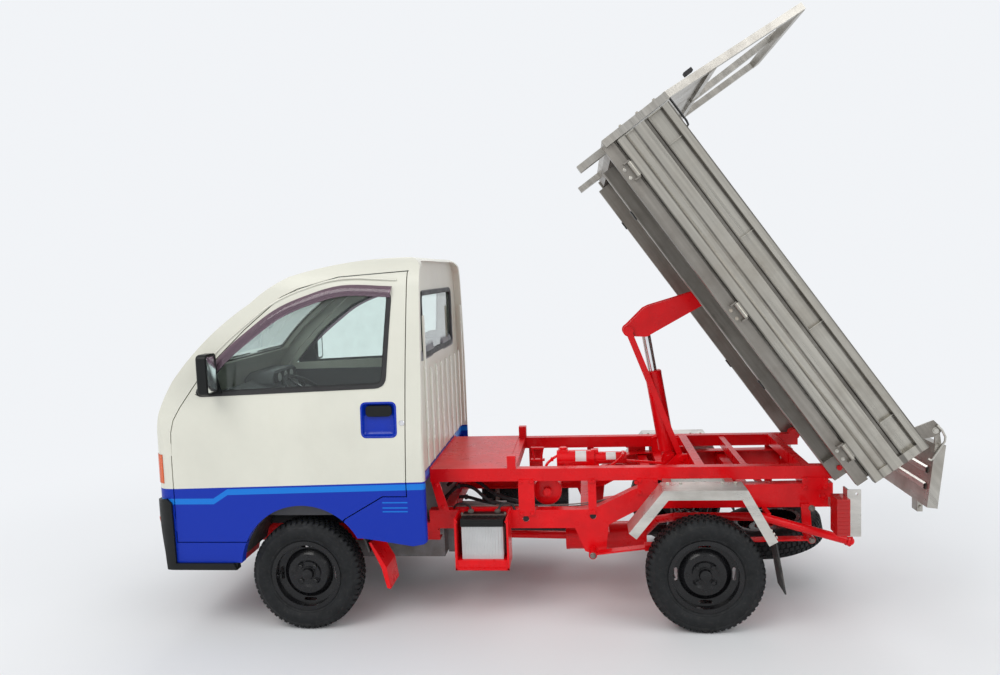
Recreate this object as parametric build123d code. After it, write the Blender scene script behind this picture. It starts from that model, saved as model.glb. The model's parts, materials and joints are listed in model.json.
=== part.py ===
from build123d import *
import os
from math import atan2, cos, degrees, hypot, radians, sin

os.makedirs("parts", exist_ok=True)

# A cab-over kei truck with a tipping bed, shown with the bed raised.
# x runs forward from the front axle, y to the left and z up from the ground, all in millimetres.

# Driving dimensions: wheels and stance
wheelbase = 1885
track_half = 607
tyre_radius = 268
tyre_width = 145
rim_seat = 158
rim_flange = 170
rim_width = 116
drum_radius = 98
running_gap = 0.3
axle_x = -wheelbase
hub_z = tyre_radius
steer_axis_y = track_half - 47

# Driving dimensions: cab
cab_nose_x = 718
cab_back_x = -606
cab_half = 697
cab_top_z = 1777
cab_wall = 42
shut_gap = 5
glass_thick = 5
arch_centre = (-5, 316)
arch_radius = 307
floor_z = 425
floor_thick = 18
seat_deck_z = 700

# Driving dimensions: frame and tipper sub-frame
rail_outer = 391
rail_width = 60
rail_wall = 7
rear_end_x = axle_x - 638
subframe_outer = 391
subframe_width = 50
subframe_bottom = 649
subframe_top = 712
subframe_front_x = -571
subframe_rear_x = rear_end_x - 29
deck_thick = 3
deck_rear_x = -960

# Driving dimensions: bed, in its own lowered frame: u forward and v up from the tipping hinge
tip_angle = 54.8
hinge_x = rear_end_x - 12
hinge_z = 716
hinge_pin = 12
bed_front_x = -704
bed_front_u = bed_front_x - hinge_x
bed_rear_u = -27
bed_sheet_half = 639
bed_rail_y = (630, 668)
bed_rail_v = (-8, 46)
bed_floor_v = (66, 72)
sill_y = (405, 445)
sill_bottom_v = -52
gate_v = (58, 333)
gate_u = (-55, bed_front_u - 5)
gate_y = (645, 680)
gate_hinge = (686, 44)
gate_hinge_u = (131, 907, 1683)
gate_partition_u = (151, 661, 1160, 1672)
guard_top_v = 1082

# Driving dimensions: lever hoist
link_foot = (hinge_x + 685, 684)
link_length = 720
arm_pivot = (990, 12)
rod_eye_along = 337
rod_eye_below = 40
cylinder_foot = (hinge_x + 744, 680)
barrel_radius = 44
barrel_length = 430
rod_radius = 23

nodes = {}


def block(x_from, x_to, y_from, y_to, z_from, z_to):
    """Box between two corners."""
    centre = ((x_from + x_to) / 2, (y_from + y_to) / 2, (z_from + z_to) / 2)
    return Pos(*centre) * Box(abs(x_to - x_from), abs(y_to - y_from), abs(z_to - z_from))


def bar(start, end, radius):
    """Round bar between two points."""
    run = Vector(*end) - Vector(*start)
    return Solid.make_cylinder(radius, run.length, Plane(origin=start, z_dir=run))


def cross_bar(place, radius, y_from, y_to):
    """Round bar across the truck at an (x, z) place."""
    return bar((place[0], y_from, place[1]), (place[0], y_to, place[1]), radius)


def side_wire(start, steps, y=0):
    """Closed side-view outline; a step is (x, z) for a line or (mid_x, mid_z, x, z) for an arc."""
    edges = []
    here = start
    for step in steps:
        there = step[-2:]
        first = Vector(here[0], y, here[1])
        last = Vector(there[0], y, there[1])
        if len(step) == 4:
            edges.append(Edge.make_three_point_arc(first, Vector(step[0], y, step[1]), last))
        else:
            edges.append(Edge.make_line(first, last))
        here = there
    edges.append(Edge.make_line(Vector(here[0], y, here[1]), Vector(start[0], y, start[1])))
    return Wire(edges)


def across(wire, y_from, y_to):
    """Side-view outline drawn at y = 0, extruded across the truck between two y values."""
    face = Face(wire).moved(Pos(0, y_from, 0))
    return Solid.extrude(face, Vector(0, y_to - y_from, 0))


def plate(points, y_from, y_to):
    """Side-view polygon of (x, z) points, extruded across the truck."""
    return across(side_wire(points[0], points[1:]), y_from, y_to)


def folded(points, thick):
    """Closed outline of a folded strip: the (x, z) points and their copy offset to the left by thick."""
    offsets = []
    for index, (x, z) in enumerate(points):
        before = points[max(index - 1, 0)]
        after = points[min(index + 1, len(points) - 1)]
        turns = []
        for first, last in ((before, (x, z)), ((x, z), after)):
            run = hypot(last[0] - first[0], last[1] - first[1])
            if run > 0:
                turns.append((-(last[1] - first[1]) / run, (last[0] - first[0]) / run))
        nx = sum(turn[0] for turn in turns) / len(turns)
        nz = sum(turn[1] for turn in turns) / len(turns)
        scale = thick / (nx * nx + nz * nz)
        offsets.append((x + nx * scale, z + nz * scale))
    return list(points) + offsets[::-1]


def right_of(shape):
    """The same piece on the right side."""
    return mirror(shape, about=Plane.XZ)


def pair(shape):
    """A left piece and its right twin."""
    return [shape, right_of(shape)]


# Cab: side, front and plan outlines; an inset moves each inward by the same amount
cab_side_start = (cab_back_x, 300)
cab_side_steps = [
    (cab_back_x, 1690),
    (cab_back_x + 14, 1755, cab_back_x + 70, cab_top_z),
    (-260, 1763, 22, 1705),
    (122, 1652, 212, 1585),
    (420, 1428, 599, 1230),
    (672, 1085, cab_nose_x, 908),
    (cab_nose_x - 2, 700),
    (700, 560),
    (672, 400),
    (662, 300),
]
cab_waist_z = 760
cab_lean_in = 79
cab_shoulder = (cab_half - cab_lean_in, 1640)
cab_roof_z = cab_top_z + 12
cab_corner_radius = 80
# the side leans in along one large arc from the waist to the shoulder, then turns into the roof
lean = 2 * atan2(cab_half - cab_shoulder[0], cab_shoulder[1] - cab_waist_z)
shoulder_radius = (cab_roof_z - cab_shoulder[1]) / (1 - sin(lean))
shoulder_centre = (
    cab_shoulder[0] - shoulder_radius * cos(lean),
    cab_shoulder[1] - shoulder_radius * sin(lean),
)


def shoulder_point(angle, outset):
    """Point on the shoulder arc at an angle above level."""
    radius = shoulder_radius + outset
    return Vector(0, shoulder_centre[0] + radius * cos(angle), shoulder_centre[1] + radius * sin(angle))


def front_prism(outset, x_from, x_to):
    """The cab's front outline as a prism along the truck, grown outward by outset."""
    start = Vector(0, cab_half + outset, 150)
    waist = Vector(0, cab_half + outset, cab_waist_z)
    shoulder = shoulder_point(lean, outset)
    roof = shoulder_point(radians(90), outset)
    half = [
        Edge.make_line(start, waist),
        Edge.make_tangent_arc(waist, Vector(0, 0, 1), shoulder),
        Edge.make_three_point_arc(shoulder, shoulder_point(radians(50), outset), roof),
    ]
    other = [edge.mirror(Plane.XZ) for edge in half]
    top = Edge.make_line(roof, Vector(0, -roof.Y, roof.Z))
    foot = Edge.make_line(start, Vector(0, -start.Y, start.Z))
    front = Face(Wire(half + other + [top, foot]))
    return Solid.extrude(front.moved(Pos(x_from, 0, 0)), Vector(x_to - x_from, 0, 0))


def cab_form(outset):
    """The cab's closed outer form, grown outward by outset."""
    side = side_wire(cab_side_start, cab_side_steps)
    if outset:
        side = side.offset_2d(outset, kind=Kind.INTERSECTION)
    return across(side, -900, 900) & front_prism(outset, -900, 1000) & plan_form(outset, 200, 1900)


def plan_form(outset, z_from, z_to):
    """The cab's plan outline as an upright prism."""
    length = cab_nose_x - cab_back_x + 2 * outset
    width = 2 * (cab_half + outset)
    middle = (cab_nose_x + cab_back_x) / 2
    form = Pos(middle, 0, (z_from + z_to) / 2) * Box(length, width, z_to - z_from)
    front = form.edges().filter_by(Axis.Z).sort_by(Axis.X)[-2:]
    form = fillet(front, cab_corner_radius + outset)
    back = form.edges().filter_by(Axis.Z).sort_by(Axis.X)[:2]
    return fillet(back, 18 + max(outset, -10))


outer = cab_form(0)
inner = cab_form(-cab_wall)
arch_x, arch_z = arch_centre
arch_cut = cross_bar(arch_centre, arch_radius, 300, 800)
arch_cut = arch_cut + block(arch_x - arch_radius, arch_x + arch_radius, 300, 800, 200, arch_z)
arches = arch_cut + right_of(arch_cut)
shell = outer - inner - plan_form(-cab_wall, 150, 400) - arches
# the back wall stands inside the rim that the sides and roof form
back_rim = 30
back_wall_x = cab_back_x + 38
back_thick = 18
shell = shell - front_prism(-back_rim, cab_back_x - 20, back_wall_x)

# Side-view outlines of the cab's panels
door_top_line = [(-557, 1714), (-219, 1697), (-21, 1647), (82, 1594), (240, 1464), (348, 1361)]
door_top_line = door_top_line + [(457, 1256), (514, 1179), (571, 1101)]
door_front_line = [(606, 1042), (621, 982), (624, 872), (623, 443)]
door_bottom_line = [(-100, 443), (-221, 556), (-405, 661), (-522, 660), (-521, 741), (-552, 1706)]
door_outline = door_top_line + door_front_line + door_bottom_line
frame_region = [(60, 1611)] + door_top_line[3:] + [(800, 1190), (800, 1900), (60, 1900)]
roof_region = [(60, 1611), (-21, 1647), (-219, 1697), (-557, 1714), (-800, 1714), (-800, 1900), (60, 1900)]
sill_line = [(623, 443), (200, 443), (200, 345), (800, 345), (800, 1190)]
nose_region = [(571, 1101)] + door_front_line + sill_line[1:]
back_region = [(-557, 1714), (-552, 1706), (-521, 741), (-522, 660), (-405, 661), (-221, 556)]
back_region = back_region + [(-150, 464), (-302, 464), (-382, 452), (-539, 426), (-590, 435), (-640, 461)]
back_region = back_region + [(-640, 1714)]
handle_x = (-484, -320)
handle_z = (945, 1106)
handle_depth = 24
window_start = (489, 1160)
window_steps = [(-430, 1184), (-467, 1620), (-240, 1632), (-52, 1585), (86, 1526), (216, 1434), (316, 1354)]

door_knuckle_x = 622.8
door_knuckle_z = (530, 900)
lamp_z = (735, 875)
headlamp_y = (385, 598)
turn_lamp_y = (601, 720)
lamp_back_x = 669
windscreen_low = (600, 1262)
windscreen_high = (535, 1572)
rear_window_y = 420
rear_window_z = (1290, 1600)

lamp_seat = cab_form(-25.3)
lamp_body = cab_form(3) - cab_form(-25)
lamp_hole = block(lamp_back_x, 900, headlamp_y[0], turn_lamp_y[1], *lamp_z) - lamp_seat
nose = (shell & plate(nose_region, -800, 800)) - lamp_hole - right_of(lamp_hole)
# round hinge knuckles on the pillar edge, against the front edge of each door
for z in door_knuckle_z:
    knuckle_bead = bar((door_knuckle_x, cab_half - 5, z - 30), (door_knuckle_x, cab_half - 5, z + 30), 3.7)
    nose = nose + knuckle_bead + right_of(knuckle_bead)
nodes["cab_front"] = nose.solids()

opening = [(windscreen_low[0], windscreen_low[1]), (windscreen_high[0], windscreen_high[1])]


def windscreen_prism(margin):
    """Front-view windscreen opening, grown by margin, as a prism along the truck."""
    low_y = windscreen_low[0] + margin
    high_y = windscreen_high[0] + margin
    low_z = windscreen_low[1] - margin
    high_z = windscreen_high[1] + margin
    corners = [(100, low_y, low_z), (100, high_y, high_z), (100, -high_y, high_z), (100, -low_y, low_z)]
    return Solid.extrude(Face(Wire.make_polygon(corners)), Vector(700, 0, 0))


frame = (shell & plate(frame_region, -800, 800)) - windscreen_prism(0)
nodes["windscreen_frame"] = frame.solids()
nodes["cab_roof"] = (shell & plate(roof_region, -800, 800)).solids()

rear_window = block(-700, -500, -rear_window_y, rear_window_y, *rear_window_z)
back_gap = block(-640, -550, -640, 640, 300, seat_deck_z - floor_thick - 2)
back_wall = front_prism(-cab_wall + 1, back_wall_x, back_wall_x + back_thick)
back_wall = back_wall & block(-700, -500, -700, 700, seat_deck_z - floor_thick - 2, 1713)
cab_back = (shell & plate(back_region, -800, 800)) + back_wall
nodes["cab_back"] = (cab_back - rear_window - back_gap).solids()

glass_skin = cab_form(-12) - cab_form(-12 - glass_thick)
screen = glass_skin & windscreen_prism(-running_gap)
rear_glass = block(
    back_wall_x + 6,
    back_wall_x + 6 + glass_thick,
    running_gap - rear_window_y,
    rear_window_y - running_gap,
    rear_window_z[0] + running_gap,
    rear_window_z[1] - running_gap,
)
nodes["cab_glass"] = screen.solids() + [rear_glass]

# Lamps let into the nose and the bumper
headlamp = lamp_body & block(600, 800, headlamp_y[0] + 0.3, headlamp_y[1], lamp_z[0] + 0.3, lamp_z[1] - 0.3)
nodes["headlamps"] = headlamp.solids() + right_of(headlamp).solids()
turn_box = block(lamp_back_x + 0.3, 800, *turn_lamp_y, lamp_z[0] + 0.3, lamp_z[1] - 0.3)
turn_lamp = lamp_body & turn_box

bumper_out = 14
bumper_skin = cab_form(bumper_out) - cab_form(running_gap)
bumper_region = [(628, 345), (632, 640), (655, 662), (800, 636), (800, 313), (322, 313), (338, 344.7)]
bumper_region = bumper_region + [(628, 344.7)]
bumper = bumper_skin & plate(bumper_region, -800, 800)
skirt = block(322, 675, cab_half - 30, cab_half + 4, 313, 344.7)
cross_skirt = block(640, 680, -cab_half + 70, cab_half - 70, 313, 344.7)
bumper = bumper + skirt + right_of(skirt) + cross_skirt
marker_box = block(690, 800, 600, 672, 505, 565)
marker = (cab_form(bumper_out + 3) - cab_form(5)) & marker_box
bumper = bumper - block(680, 800, 599.7, 672.3, 504.7, 565.3) - block(680, 800, -672.3, -599.7, 504.7, 565.3)
nodes["bumper"] = bumper.solids()
turn_lamps = turn_lamp.solids() + marker.solids()
nodes["turn_lamps"] = turn_lamps + [right_of(lamp) for lamp in turn_lamps]

# Doors, each as thick as the cab wall, with the window cut through
door_wire = side_wire(door_outline[0], door_outline[1:]).offset_2d(-shut_gap, kind=Kind.INTERSECTION)
window_wire = side_wire(window_start, window_steps)
door = (shell & across(door_wire, 500, 800)) - across(window_wire, 400, 800)
handle_block = block(*handle_x, 500, 800, *handle_z)
handle_block = fillet(handle_block.edges().filter_by(Axis.Y), 24)
door = door - ((cab_form(4) - cab_form(-handle_depth)) & handle_block)
glass_wire = window_wire.offset_2d(-running_gap, kind=Kind.INTERSECTION)
door_glass = glass_skin & across(glass_wire, 400, 800)
nodes["door_left"] = door.solids()
nodes["door_right"] = right_of(door).solids()
nodes["door_glass_left"] = door_glass.solids()
nodes["door_glass_right"] = right_of(door_glass).solids()

# Mirrors: a sail plate on the window's front corner, an arm and a housing
sail = (cab_form(9) - cab_form(running_gap)) & plate([(478, 1158), (352, 1164), (392, 1312)], 500, 800)
housing = block(362, 412, cab_half + 5, cab_half + 115, 1172, 1362)
housing = fillet(housing.edges().filter_by(Axis.X), 24)
housing = fillet(housing.edges().group_by(Axis.X)[-1], 14)
mirror_arm = bar((400, cab_half - 57, 1215), (392, cab_half + 48, 1230), 13)
mirror_set = sail + (mirror_arm - cab_form(running_gap)) + housing
nodes["mirror_left"] = mirror_set.solids()
nodes["mirror_right"] = right_of(mirror_set).solids()

# Cab floor: footwell, riser, seat deck and the wheel-house linings
deck_half = cab_half - cab_wall - 15
wall_x = back_wall_x + back_thick + running_gap
floor = block(286, 610, -deck_half, deck_half, floor_z, floor_z + floor_thick)
riser = block(286, 304, -deck_half, deck_half, floor_z, seat_deck_z)
deck = block(wall_x, 304, -deck_half, deck_half, seat_deck_z - floor_thick, seat_deck_z)
lining = cross_bar(arch_centre, arch_radius + 8, rail_outer + 9, deck_half)
lining = lining - cross_bar(arch_centre, arch_radius, 300, 800)
lining = lining - block(-400, 400, 300, 800, 0, arch_z + 60)
post = block(arch_x - 12, arch_x + 12, rail_outer + 9, deck_half, arch_z + arch_radius + 4, seat_deck_z)
cab_floor = floor + riser + deck + lining + post + right_of(lining) + right_of(post)
cab_floor = cab_floor - block(400, 800, -800, 800, 0, floor_z) - arches
nodes["cab_floor"] = cab_floor.solids()

# Dashboard with the steering column; the truck is driven from the right
wheel_hub = Vector(285, -330, 1000)
column_foot = Vector(545, -330, 660)
column_dir = (wheel_hub - column_foot).normalized()
dash_outline = [(668, 700), (668, 1060), (560, 1118), (455, 1070), (425, 960), (470, 860), (500, 700)]
dash = plate(dash_outline, 8 - deck_half, deck_half - 8) & cab_form(-cab_wall - running_gap)
column = bar(column_foot, wheel_hub - column_dir * 26, 26)
nodes["dashboard"] = (dash + column).solids()

hub_plane = Plane(origin=wheel_hub, z_dir=column_dir)
steer_rim = hub_plane * Torus(182, 13)
steer_hub = Solid.make_cylinder(42, 50, hub_plane.offset(-25))
spokes = [hub_plane * (Rot(0, 0, turn) * Pos(105, 0, 0) * Box(150, 26, 12)) for turn in (0, 180, 270)]
steering_wheel = steer_rim + steer_hub
for spoke in spokes:
    steering_wheel = steering_wheel + spoke
nodes["steering_wheel"] = steering_wheel.solids()

# Seats: a cushion and a back for each place
cushion_y = (70, 545)
cushion = block(-430, 70, *cushion_y, seat_deck_z + running_gap, 845)
cushion = fillet(cushion.edges().group_by(Axis.Z)[-1], 30)
nodes["seat_cushions"] = pair(cushion)
back_outline = [(-425, 845.3), (-316, 845.3), (-440, 1380), (-530, 1380), (-546, 845.3)]
seat_back = plate(back_outline, *cushion_y)
seat_back = fillet(seat_back.edges().group_by(Axis.Z)[-1], 25)
nodes["seat_backs"] = pair(seat_back)

# Engine and gearbox as one plain block under the seats
engine = block(-600, -85, -230, 230, 205, 640)
gearbox = block(-900, -600, -120, 120, 190, 400)
engine_mounts = block(-320, -270, -300, 300, 342 + running_gap, 362)
nodes["engine_block"] = (engine + gearbox + engine_mounts).solids()

# Main frame: channel rails that kick up over the rear axle, on lower front rails under the cab
rail_inner = rail_outer - rail_width
rail_top = [
    (axle_x + 560, 503),
    (axle_x + 503, 509.8, axle_x + 450, 530),
    (axle_x + 332, 588.6),
    (axle_x + 280, 609.3, axle_x + 225, 616),
    (rear_end_x, 628),
]
rail_bottom = [
    (rear_end_x, 512),
    (axle_x + 185, 508),
    (axle_x + 285, 500),
    (axle_x + 430, 425),
    (axle_x + 515, 410),
    (-560, 410),
]
rail_form = side_wire((-560, 503), rail_top + rail_bottom)
rail_pocket = rail_form.offset_2d(-rail_wall, kind=Kind.INTERSECTION)
rear_rail = across(rail_form, rail_inner, rail_outer)
rear_rail = rear_rail - across(rail_pocket, rail_inner - 10, rail_outer - rail_wall)
hanger = [(595, 412), (547, 292), (513, 281), (460, 281), (443, 300), (427, 430)]
hanger = [(axle_x + ahead, z) for ahead, z in hanger]
hanger_plate = plate(hanger, rail_outer - 12, rail_outer)
for hole in [(-1048, 457), (axle_x + 504, 470), (axle_x - 110, 560), (rear_end_x + 46, 565)]:
    rear_rail = rear_rail - cross_bar(hole, 16, rail_outer - 30, rail_outer + 30)
front_rail = block(-600, 610, 285, 345, 335, floor_z)
front_rail = front_rail - block(-700, 630, 278, 338, 342, floor_z - 7)
joint = block(-600, -545, 285, rail_outer, 396, 440)
rail = rear_rail + hanger_plate + front_rail + joint
nodes["frame_rails"] = rail.solids() + right_of(rail).solids()

# Frame cross members, each (x_from, x_to, z_from, z_to)
cross_members = [(560, 610, 350, 410), (-660, -610, 425, 490), (axle_x + 505, axle_x + 565, 425, 490)]
cross_members = cross_members + [(axle_x + 185, axle_x + 235, 525, 600), (axle_x - 265, axle_x - 215, 525, 600)]
cross_members = cross_members + [(rear_end_x + 8, rear_end_x + 58, 525, 615)]
members = []
for x_from, x_to, z_from, z_to in cross_members:
    reach = rail_outer - rail_wall if x_from < -600 else 338
    members.append(block(x_from, x_to, -reach, reach, z_from, z_to))
nodes["frame_cross_members"] = members

# Tipper sub-frame: box rails, posts, feet, the front deck and the cross tubes
sub_inner = subframe_outer - subframe_width
sub_rail = block(subframe_rear_x, subframe_front_x, sub_inner, subframe_outer, subframe_bottom, subframe_top)
sub_bore = block(
    subframe_rear_x + 40,
    subframe_front_x + 10,
    sub_inner + 5,
    subframe_outer - 5,
    subframe_bottom + 5,
    subframe_top - 5,
)
stop_post = block(-1005, -962, sub_inner + 2, subframe_outer - 2, subframe_top, 776)
front_bracket = plate([(-575, 650), (-615, 650), (-660, 503), (-610, 503)], rail_outer - 12, rail_outer)
# upright feet between the main rail and the sub-frame, each (x_from, x_to, rail top there)
feet = [(-1095, -1015, 503), (axle_x + 485, axle_x + 525, 510), (axle_x + 185, axle_x + 285, 605)]
feet = feet + [(rear_end_x + 23, rear_end_x + 143, 626)]
hinge_boss = cross_bar((hinge_x, hinge_z - 6), 30, sub_inner, subframe_outer)
hinge_bar = cross_bar((hinge_x, hinge_z), hinge_pin, sub_inner, sill_y[1] + 8)
sub_left = sub_rail - sub_bore + stop_post + front_bracket + hinge_boss + hinge_bar
for x_from, x_to, foot_z in feet:
    sub_left = sub_left + block(x_from, x_to, rail_outer, rail_outer + 6, foot_z - 30, subframe_bottom + 8)
nodes["subframe_rails"] = sub_left.solids() + right_of(sub_left).solids()

deck_plate = block(deck_rear_x, subframe_front_x, -subframe_outer, subframe_outer, subframe_top, subframe_top + 3)
deck_lip = block(subframe_front_x - 5, subframe_front_x, -subframe_outer, subframe_outer, subframe_top, 722)
deck_beam = block(deck_rear_x - 40, deck_rear_x, -sub_inner, sub_inner, 655, subframe_top)
base_tube = block(link_foot[0] - 80, link_foot[0] - 36, -sub_inner, sub_inner, 655, subframe_top)
base_x = (link_foot[0] - 40, cylinder_foot[0] + 60)
base_low = block(*base_x, -rail_inner + 1, rail_inner - 1, 600, 628)
base_hook = block(*base_x, rail_inner - 11, rail_inner - 1, 600, 705)
base_hook = base_hook + block(*base_x, rail_inner - 11, sub_inner, 655, 705)
rear_tube = block(hinge_x + 110, hinge_x + 150, -sub_inner, sub_inner, 655, subframe_top)
mid_tube = block(hinge_x + 395, hinge_x + 425, -sub_inner, sub_inner, 660, 705)
foot_plate = plate(
    [(link_foot[0] - 45, 628), (link_foot[0] - 30, 706), (link_foot[0] + 20, 706), (cylinder_foot[0] + 30, 640)]
    + [(cylinder_foot[0] + 30, 628)],
    84,
    96,
)
hoist_base = base_tube + base_low + base_hook + right_of(base_hook) + foot_plate + right_of(foot_plate)
clevis = plate(
    [(cylinder_foot[0] - 32, 628), (cylinder_foot[0] - 24, 700), (cylinder_foot[0] + 24, 700)]
    + [(cylinder_foot[0] + 32, 628)],
    47,
    57,
)
hoist_base = hoist_base + clevis + right_of(clevis)
hoist_base = hoist_base + cross_bar(cylinder_foot, 12, -60, 60) + cross_bar(link_foot, 11, 60, 96)
hoist_base = hoist_base + cross_bar(link_foot, 11, -96, -60)
nodes["subframe_deck"] = [(deck_plate + deck_lip + deck_beam), hoist_base, rear_tube, mid_tube]

# Hydraulic power unit and its reservoir
unit_y = 190
unit_z = 715
pump = bar((-1204, unit_y, unit_z), (-1389, unit_y, unit_z), 42)
motor = bar((-1389, unit_y, unit_z), (-1560, unit_y, unit_z), 32)
# end caps and the flange between them, each (x_from, x_to, radius)
for x_from, x_to, radius in [(-1214, -1226, 46), (-1380, -1396, 47), (-1540, -1552, 36)]:
    pump = pump + bar((x_from, unit_y, unit_z), (x_to, unit_y, unit_z), radius)
saddle = block(-1420, -1250, unit_y - 30, unit_y + 30, 655, 690)
saddle = saddle + block(-1400, -1360, unit_y, sub_inner, 655, 680)
tank = bar((-1155, 180, 575), (-1155, 300, 575), 72)
tank_strap = block(-1165, -1145, 240, sub_inner + 5, 635, subframe_bottom)
nodes["power_unit"] = [pump + motor + saddle, tank + tank_strap]

# Battery in its open tray
tray_x = (-974, -716)
tray_y = (402, 566)
tray_z = (264, 517)
tray = block(*tray_x, *tray_y, *tray_z) - block(
    tray_x[0] + 8, tray_x[1] - 8, tray_y[0] + 8, tray_y[1] + 10, tray_z[0] + 46, tray_z[1] + 10
)
tray = tray + block(tray_x[0] + 20, tray_x[1] - 20, rail_outer, tray_y[0], 430, 490)
nodes["battery_tray"] = tray.solids()
case = block(-947, -746, 424, 548, tray_z[0] + 46, 478)
lid = block(-950, -743, 421, 551, 478, 505)
posts = Pos(-780, 440, 509) * Cylinder(9, 14) + Pos(-913, 440, 509) * Cylinder(9, 14)
nodes["battery"] = (case + lid + posts).solids()

# Fuel tank on the right side
fuel = block(-1240, -720, -600, -400, 270, 470)
fuel = fillet(fuel.edges().filter_by(Axis.X), 45)
strap = block(-830, -800, -405, -rail_outer, 425, 480) + block(-1160, -1130, -405, -rail_outer, 425, 480)
nodes["fuel_tank"] = (fuel + strap).solids()

# Rear fenders of folded sheet with a lip, on brackets, and their rubber flaps
fender_y = (track_half - 77, track_half + 73)
fender_thick = 4
fender_lip_depth = 44
fender_line = [(axle_x - 315, 440), (axle_x - 187, 676), (axle_x + 185, 676), (axle_x + 345, 480)]
fender_wire = folded(fender_line, -fender_thick)
fender = plate(fender_wire, *fender_y)
fender_lip = plate(folded(fender_line, -fender_lip_depth), fender_y[1] - 3, fender_y[1])
fender_arm = block(axle_x - 165, axle_x + 165, rail_outer, rail_outer + 8, 600, 656)
for x in (axle_x - 165, axle_x + 125):
    fender_arm = fender_arm + block(x, x + 40, rail_outer, fender_y[0] + 20, 638, 656)
    fender_arm = fender_arm + block(x, x + 40, fender_y[0] + 4, fender_y[0] + 20, 638, 674)
fender = fender + fender_lip + fender_arm
nodes["rear_fenders"] = pair(fender)
flap_line = [(axle_x - 296.9, 464.3), (axle_x - 311.2, 438), (axle_x - 329, 330), (axle_x - 351, 195)]
flap = plate(folded(flap_line, 7), fender_y[0] + 4, fender_y[1] - 8)
nodes["mud_flaps"] = pair(flap)

# Red splash guards ahead of and behind the front wheels
rear_guard = plate([(-322, 424), (-392, 300), (-408, 196), (-390, 200), (-366, 300), (-310, 424)], 470, deck_half)
front_guard = plate([(318, 424), (345, 312), (356, 314), (330, 424)], 400, deck_half)
guard_arm = block(-332, -310, 345, 480, 400, 424)
front_arm = block(318, 332, 345, 420, 400, 424)
nodes["splash_guards"] = pair(rear_guard + guard_arm) + pair(front_guard + front_arm)

# Tail lamps on grey upright brackets
bracket_x = (rear_end_x - 57, rear_end_x - 1)
bracket_face = rear_end_x + 3
tail_bracket = block(*bracket_x, 600, 606, 439, 655) + block(bracket_face - 7, bracket_face, 545, 606, 439, 655)
tail_bracket = tail_bracket + block(bracket_face - 7, bracket_face + 20, rail_outer, 547.7, 520, 560)
tail_bracket = tail_bracket - cross_bar((rear_end_x - 37, 636), 6, 590, 620)
lamp = block(bracket_face, bracket_face + 56, 548, 646, 455, 622)
nodes["tail_lamps"] = pair(lamp)
nodes["tail_brackets"] = pair(tail_bracket)

# Rear axle with its differential, propeller shaft and drums
drum_y = track_half - 40
axle = cross_bar((axle_x, hub_z), 36, -drum_y, drum_y)
housing_ball = Pos(axle_x, 0, hub_z) * Sphere(112)
drum = cross_bar((axle_x, hub_z), drum_radius, drum_y - 6, track_half + 15.7)
stub = cross_bar((axle_x, hub_z), 28, track_half, track_half + 24)
axle = axle + housing_ball + drum + right_of(drum) + stub + right_of(stub)
axle = axle + bar((-902, 0, 285), (axle_x + 90, 0, hub_z), 30)
nodes["rear_axle"] = axle.solids()

# Leaf springs from the hanger over the axle to the shackle
spring_y = (421, 471)
shackle_x = axle_x - 517
spring_line = side_wire(
    (axle_x + 523, 296),
    [(axle_x, 352, shackle_x, 372), (shackle_x, 380), (axle_x, 360, axle_x + 523, 304)],
)
leaf = across(spring_line, *spring_y)
stack = block(axle_x - 260, axle_x + 260, *spring_y, 322, 350)
clamp = block(axle_x - 45, axle_x + 45, *spring_y, hub_z + 30, 356)
hanger_eye = cross_bar((axle_x + 510, 300), 20, rail_outer, spring_y[1])
shackle_eye = cross_bar((shackle_x, 376), 18, rail_outer, spring_y[1])
shackle_line = [(22, 380), (-22, 376), (-10, 530), (30, 530)]
shackle_line = [(shackle_x + ahead, z) for ahead, z in shackle_line]
shackle = plate(shackle_line, rail_outer + running_gap, rail_outer + 12)
spring = leaf + stack + clamp + hanger_eye + shackle_eye + shackle
nodes["leaf_springs"] = spring.solids() + right_of(spring).solids()
nodes["leaf_springs"] = [piece - nodes["rear_axle"][0] for piece in nodes["leaf_springs"]]

# Exhaust: silencer under the floor and a pipe over the axle to the rear left
pipe_y = track_half - 107
silencer_end = axle_x + 235
pipe_points = [(silencer_end + 10, 200, 320), (axle_x + 185, 320, 430), (axle_x + 115, pipe_y, 500)]
pipe_points = pipe_points + [(axle_x - 275, pipe_y, 500), (rear_end_x - 42, pipe_y, 382)]
exhaust = bar((-1240, 200, 310), (silencer_end, 200, 310), 70) + bar((-905, 150, 300), (-1250, 200, 310), 20)
for first, last in zip(pipe_points, pipe_points[1:]):
    exhaust = exhaust + bar(first, last, 20) + Pos(*last) * Sphere(20)
exhaust = exhaust + bar((rear_end_x - 25, pipe_y, 387), (rear_end_x - 45, pipe_y, 381), 24)
pipe_hook = block(axle_x - 325, axle_x - 305, rail_outer, pipe_y, 505, 515)
pipe_hook = pipe_hook + block(axle_x + 425, axle_x + 445, 200, rail_outer - 20, 372, 384)
exhaust = exhaust + pipe_hook
nodes["exhaust"] = exhaust.solids()

# Spare wheel slung under the tail, tilted down towards the axle
spare_tilt = 10
spare_place = Pos(axle_x - 425, 0, 270) * Rot(0, spare_tilt, 0)

# Front axle: cross member, lower arms and steering rack
arm_z = 186
front_beam = block(-70, 70, -284.7, 284.7, 200 - 20, 334.7)
front_beam = front_beam - block(-50, 50, -260, 260, 100, 310)
lower_arm = block(-16, 16, 270, steer_axis_y + 12, arm_z - 12, arm_z + 12)
brace = bar((150, 315, 318), (15, steer_axis_y - 60, arm_z), 12)
front_axle = front_beam + lower_arm + right_of(lower_arm) + brace + right_of(brace)
rack = cross_bar((110, 300), 20, -300, 300)
front_axle = front_axle + rack + block(50, 130, -30, 30, 290, 334)
nodes["front_axle"] = front_axle.solids()

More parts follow.
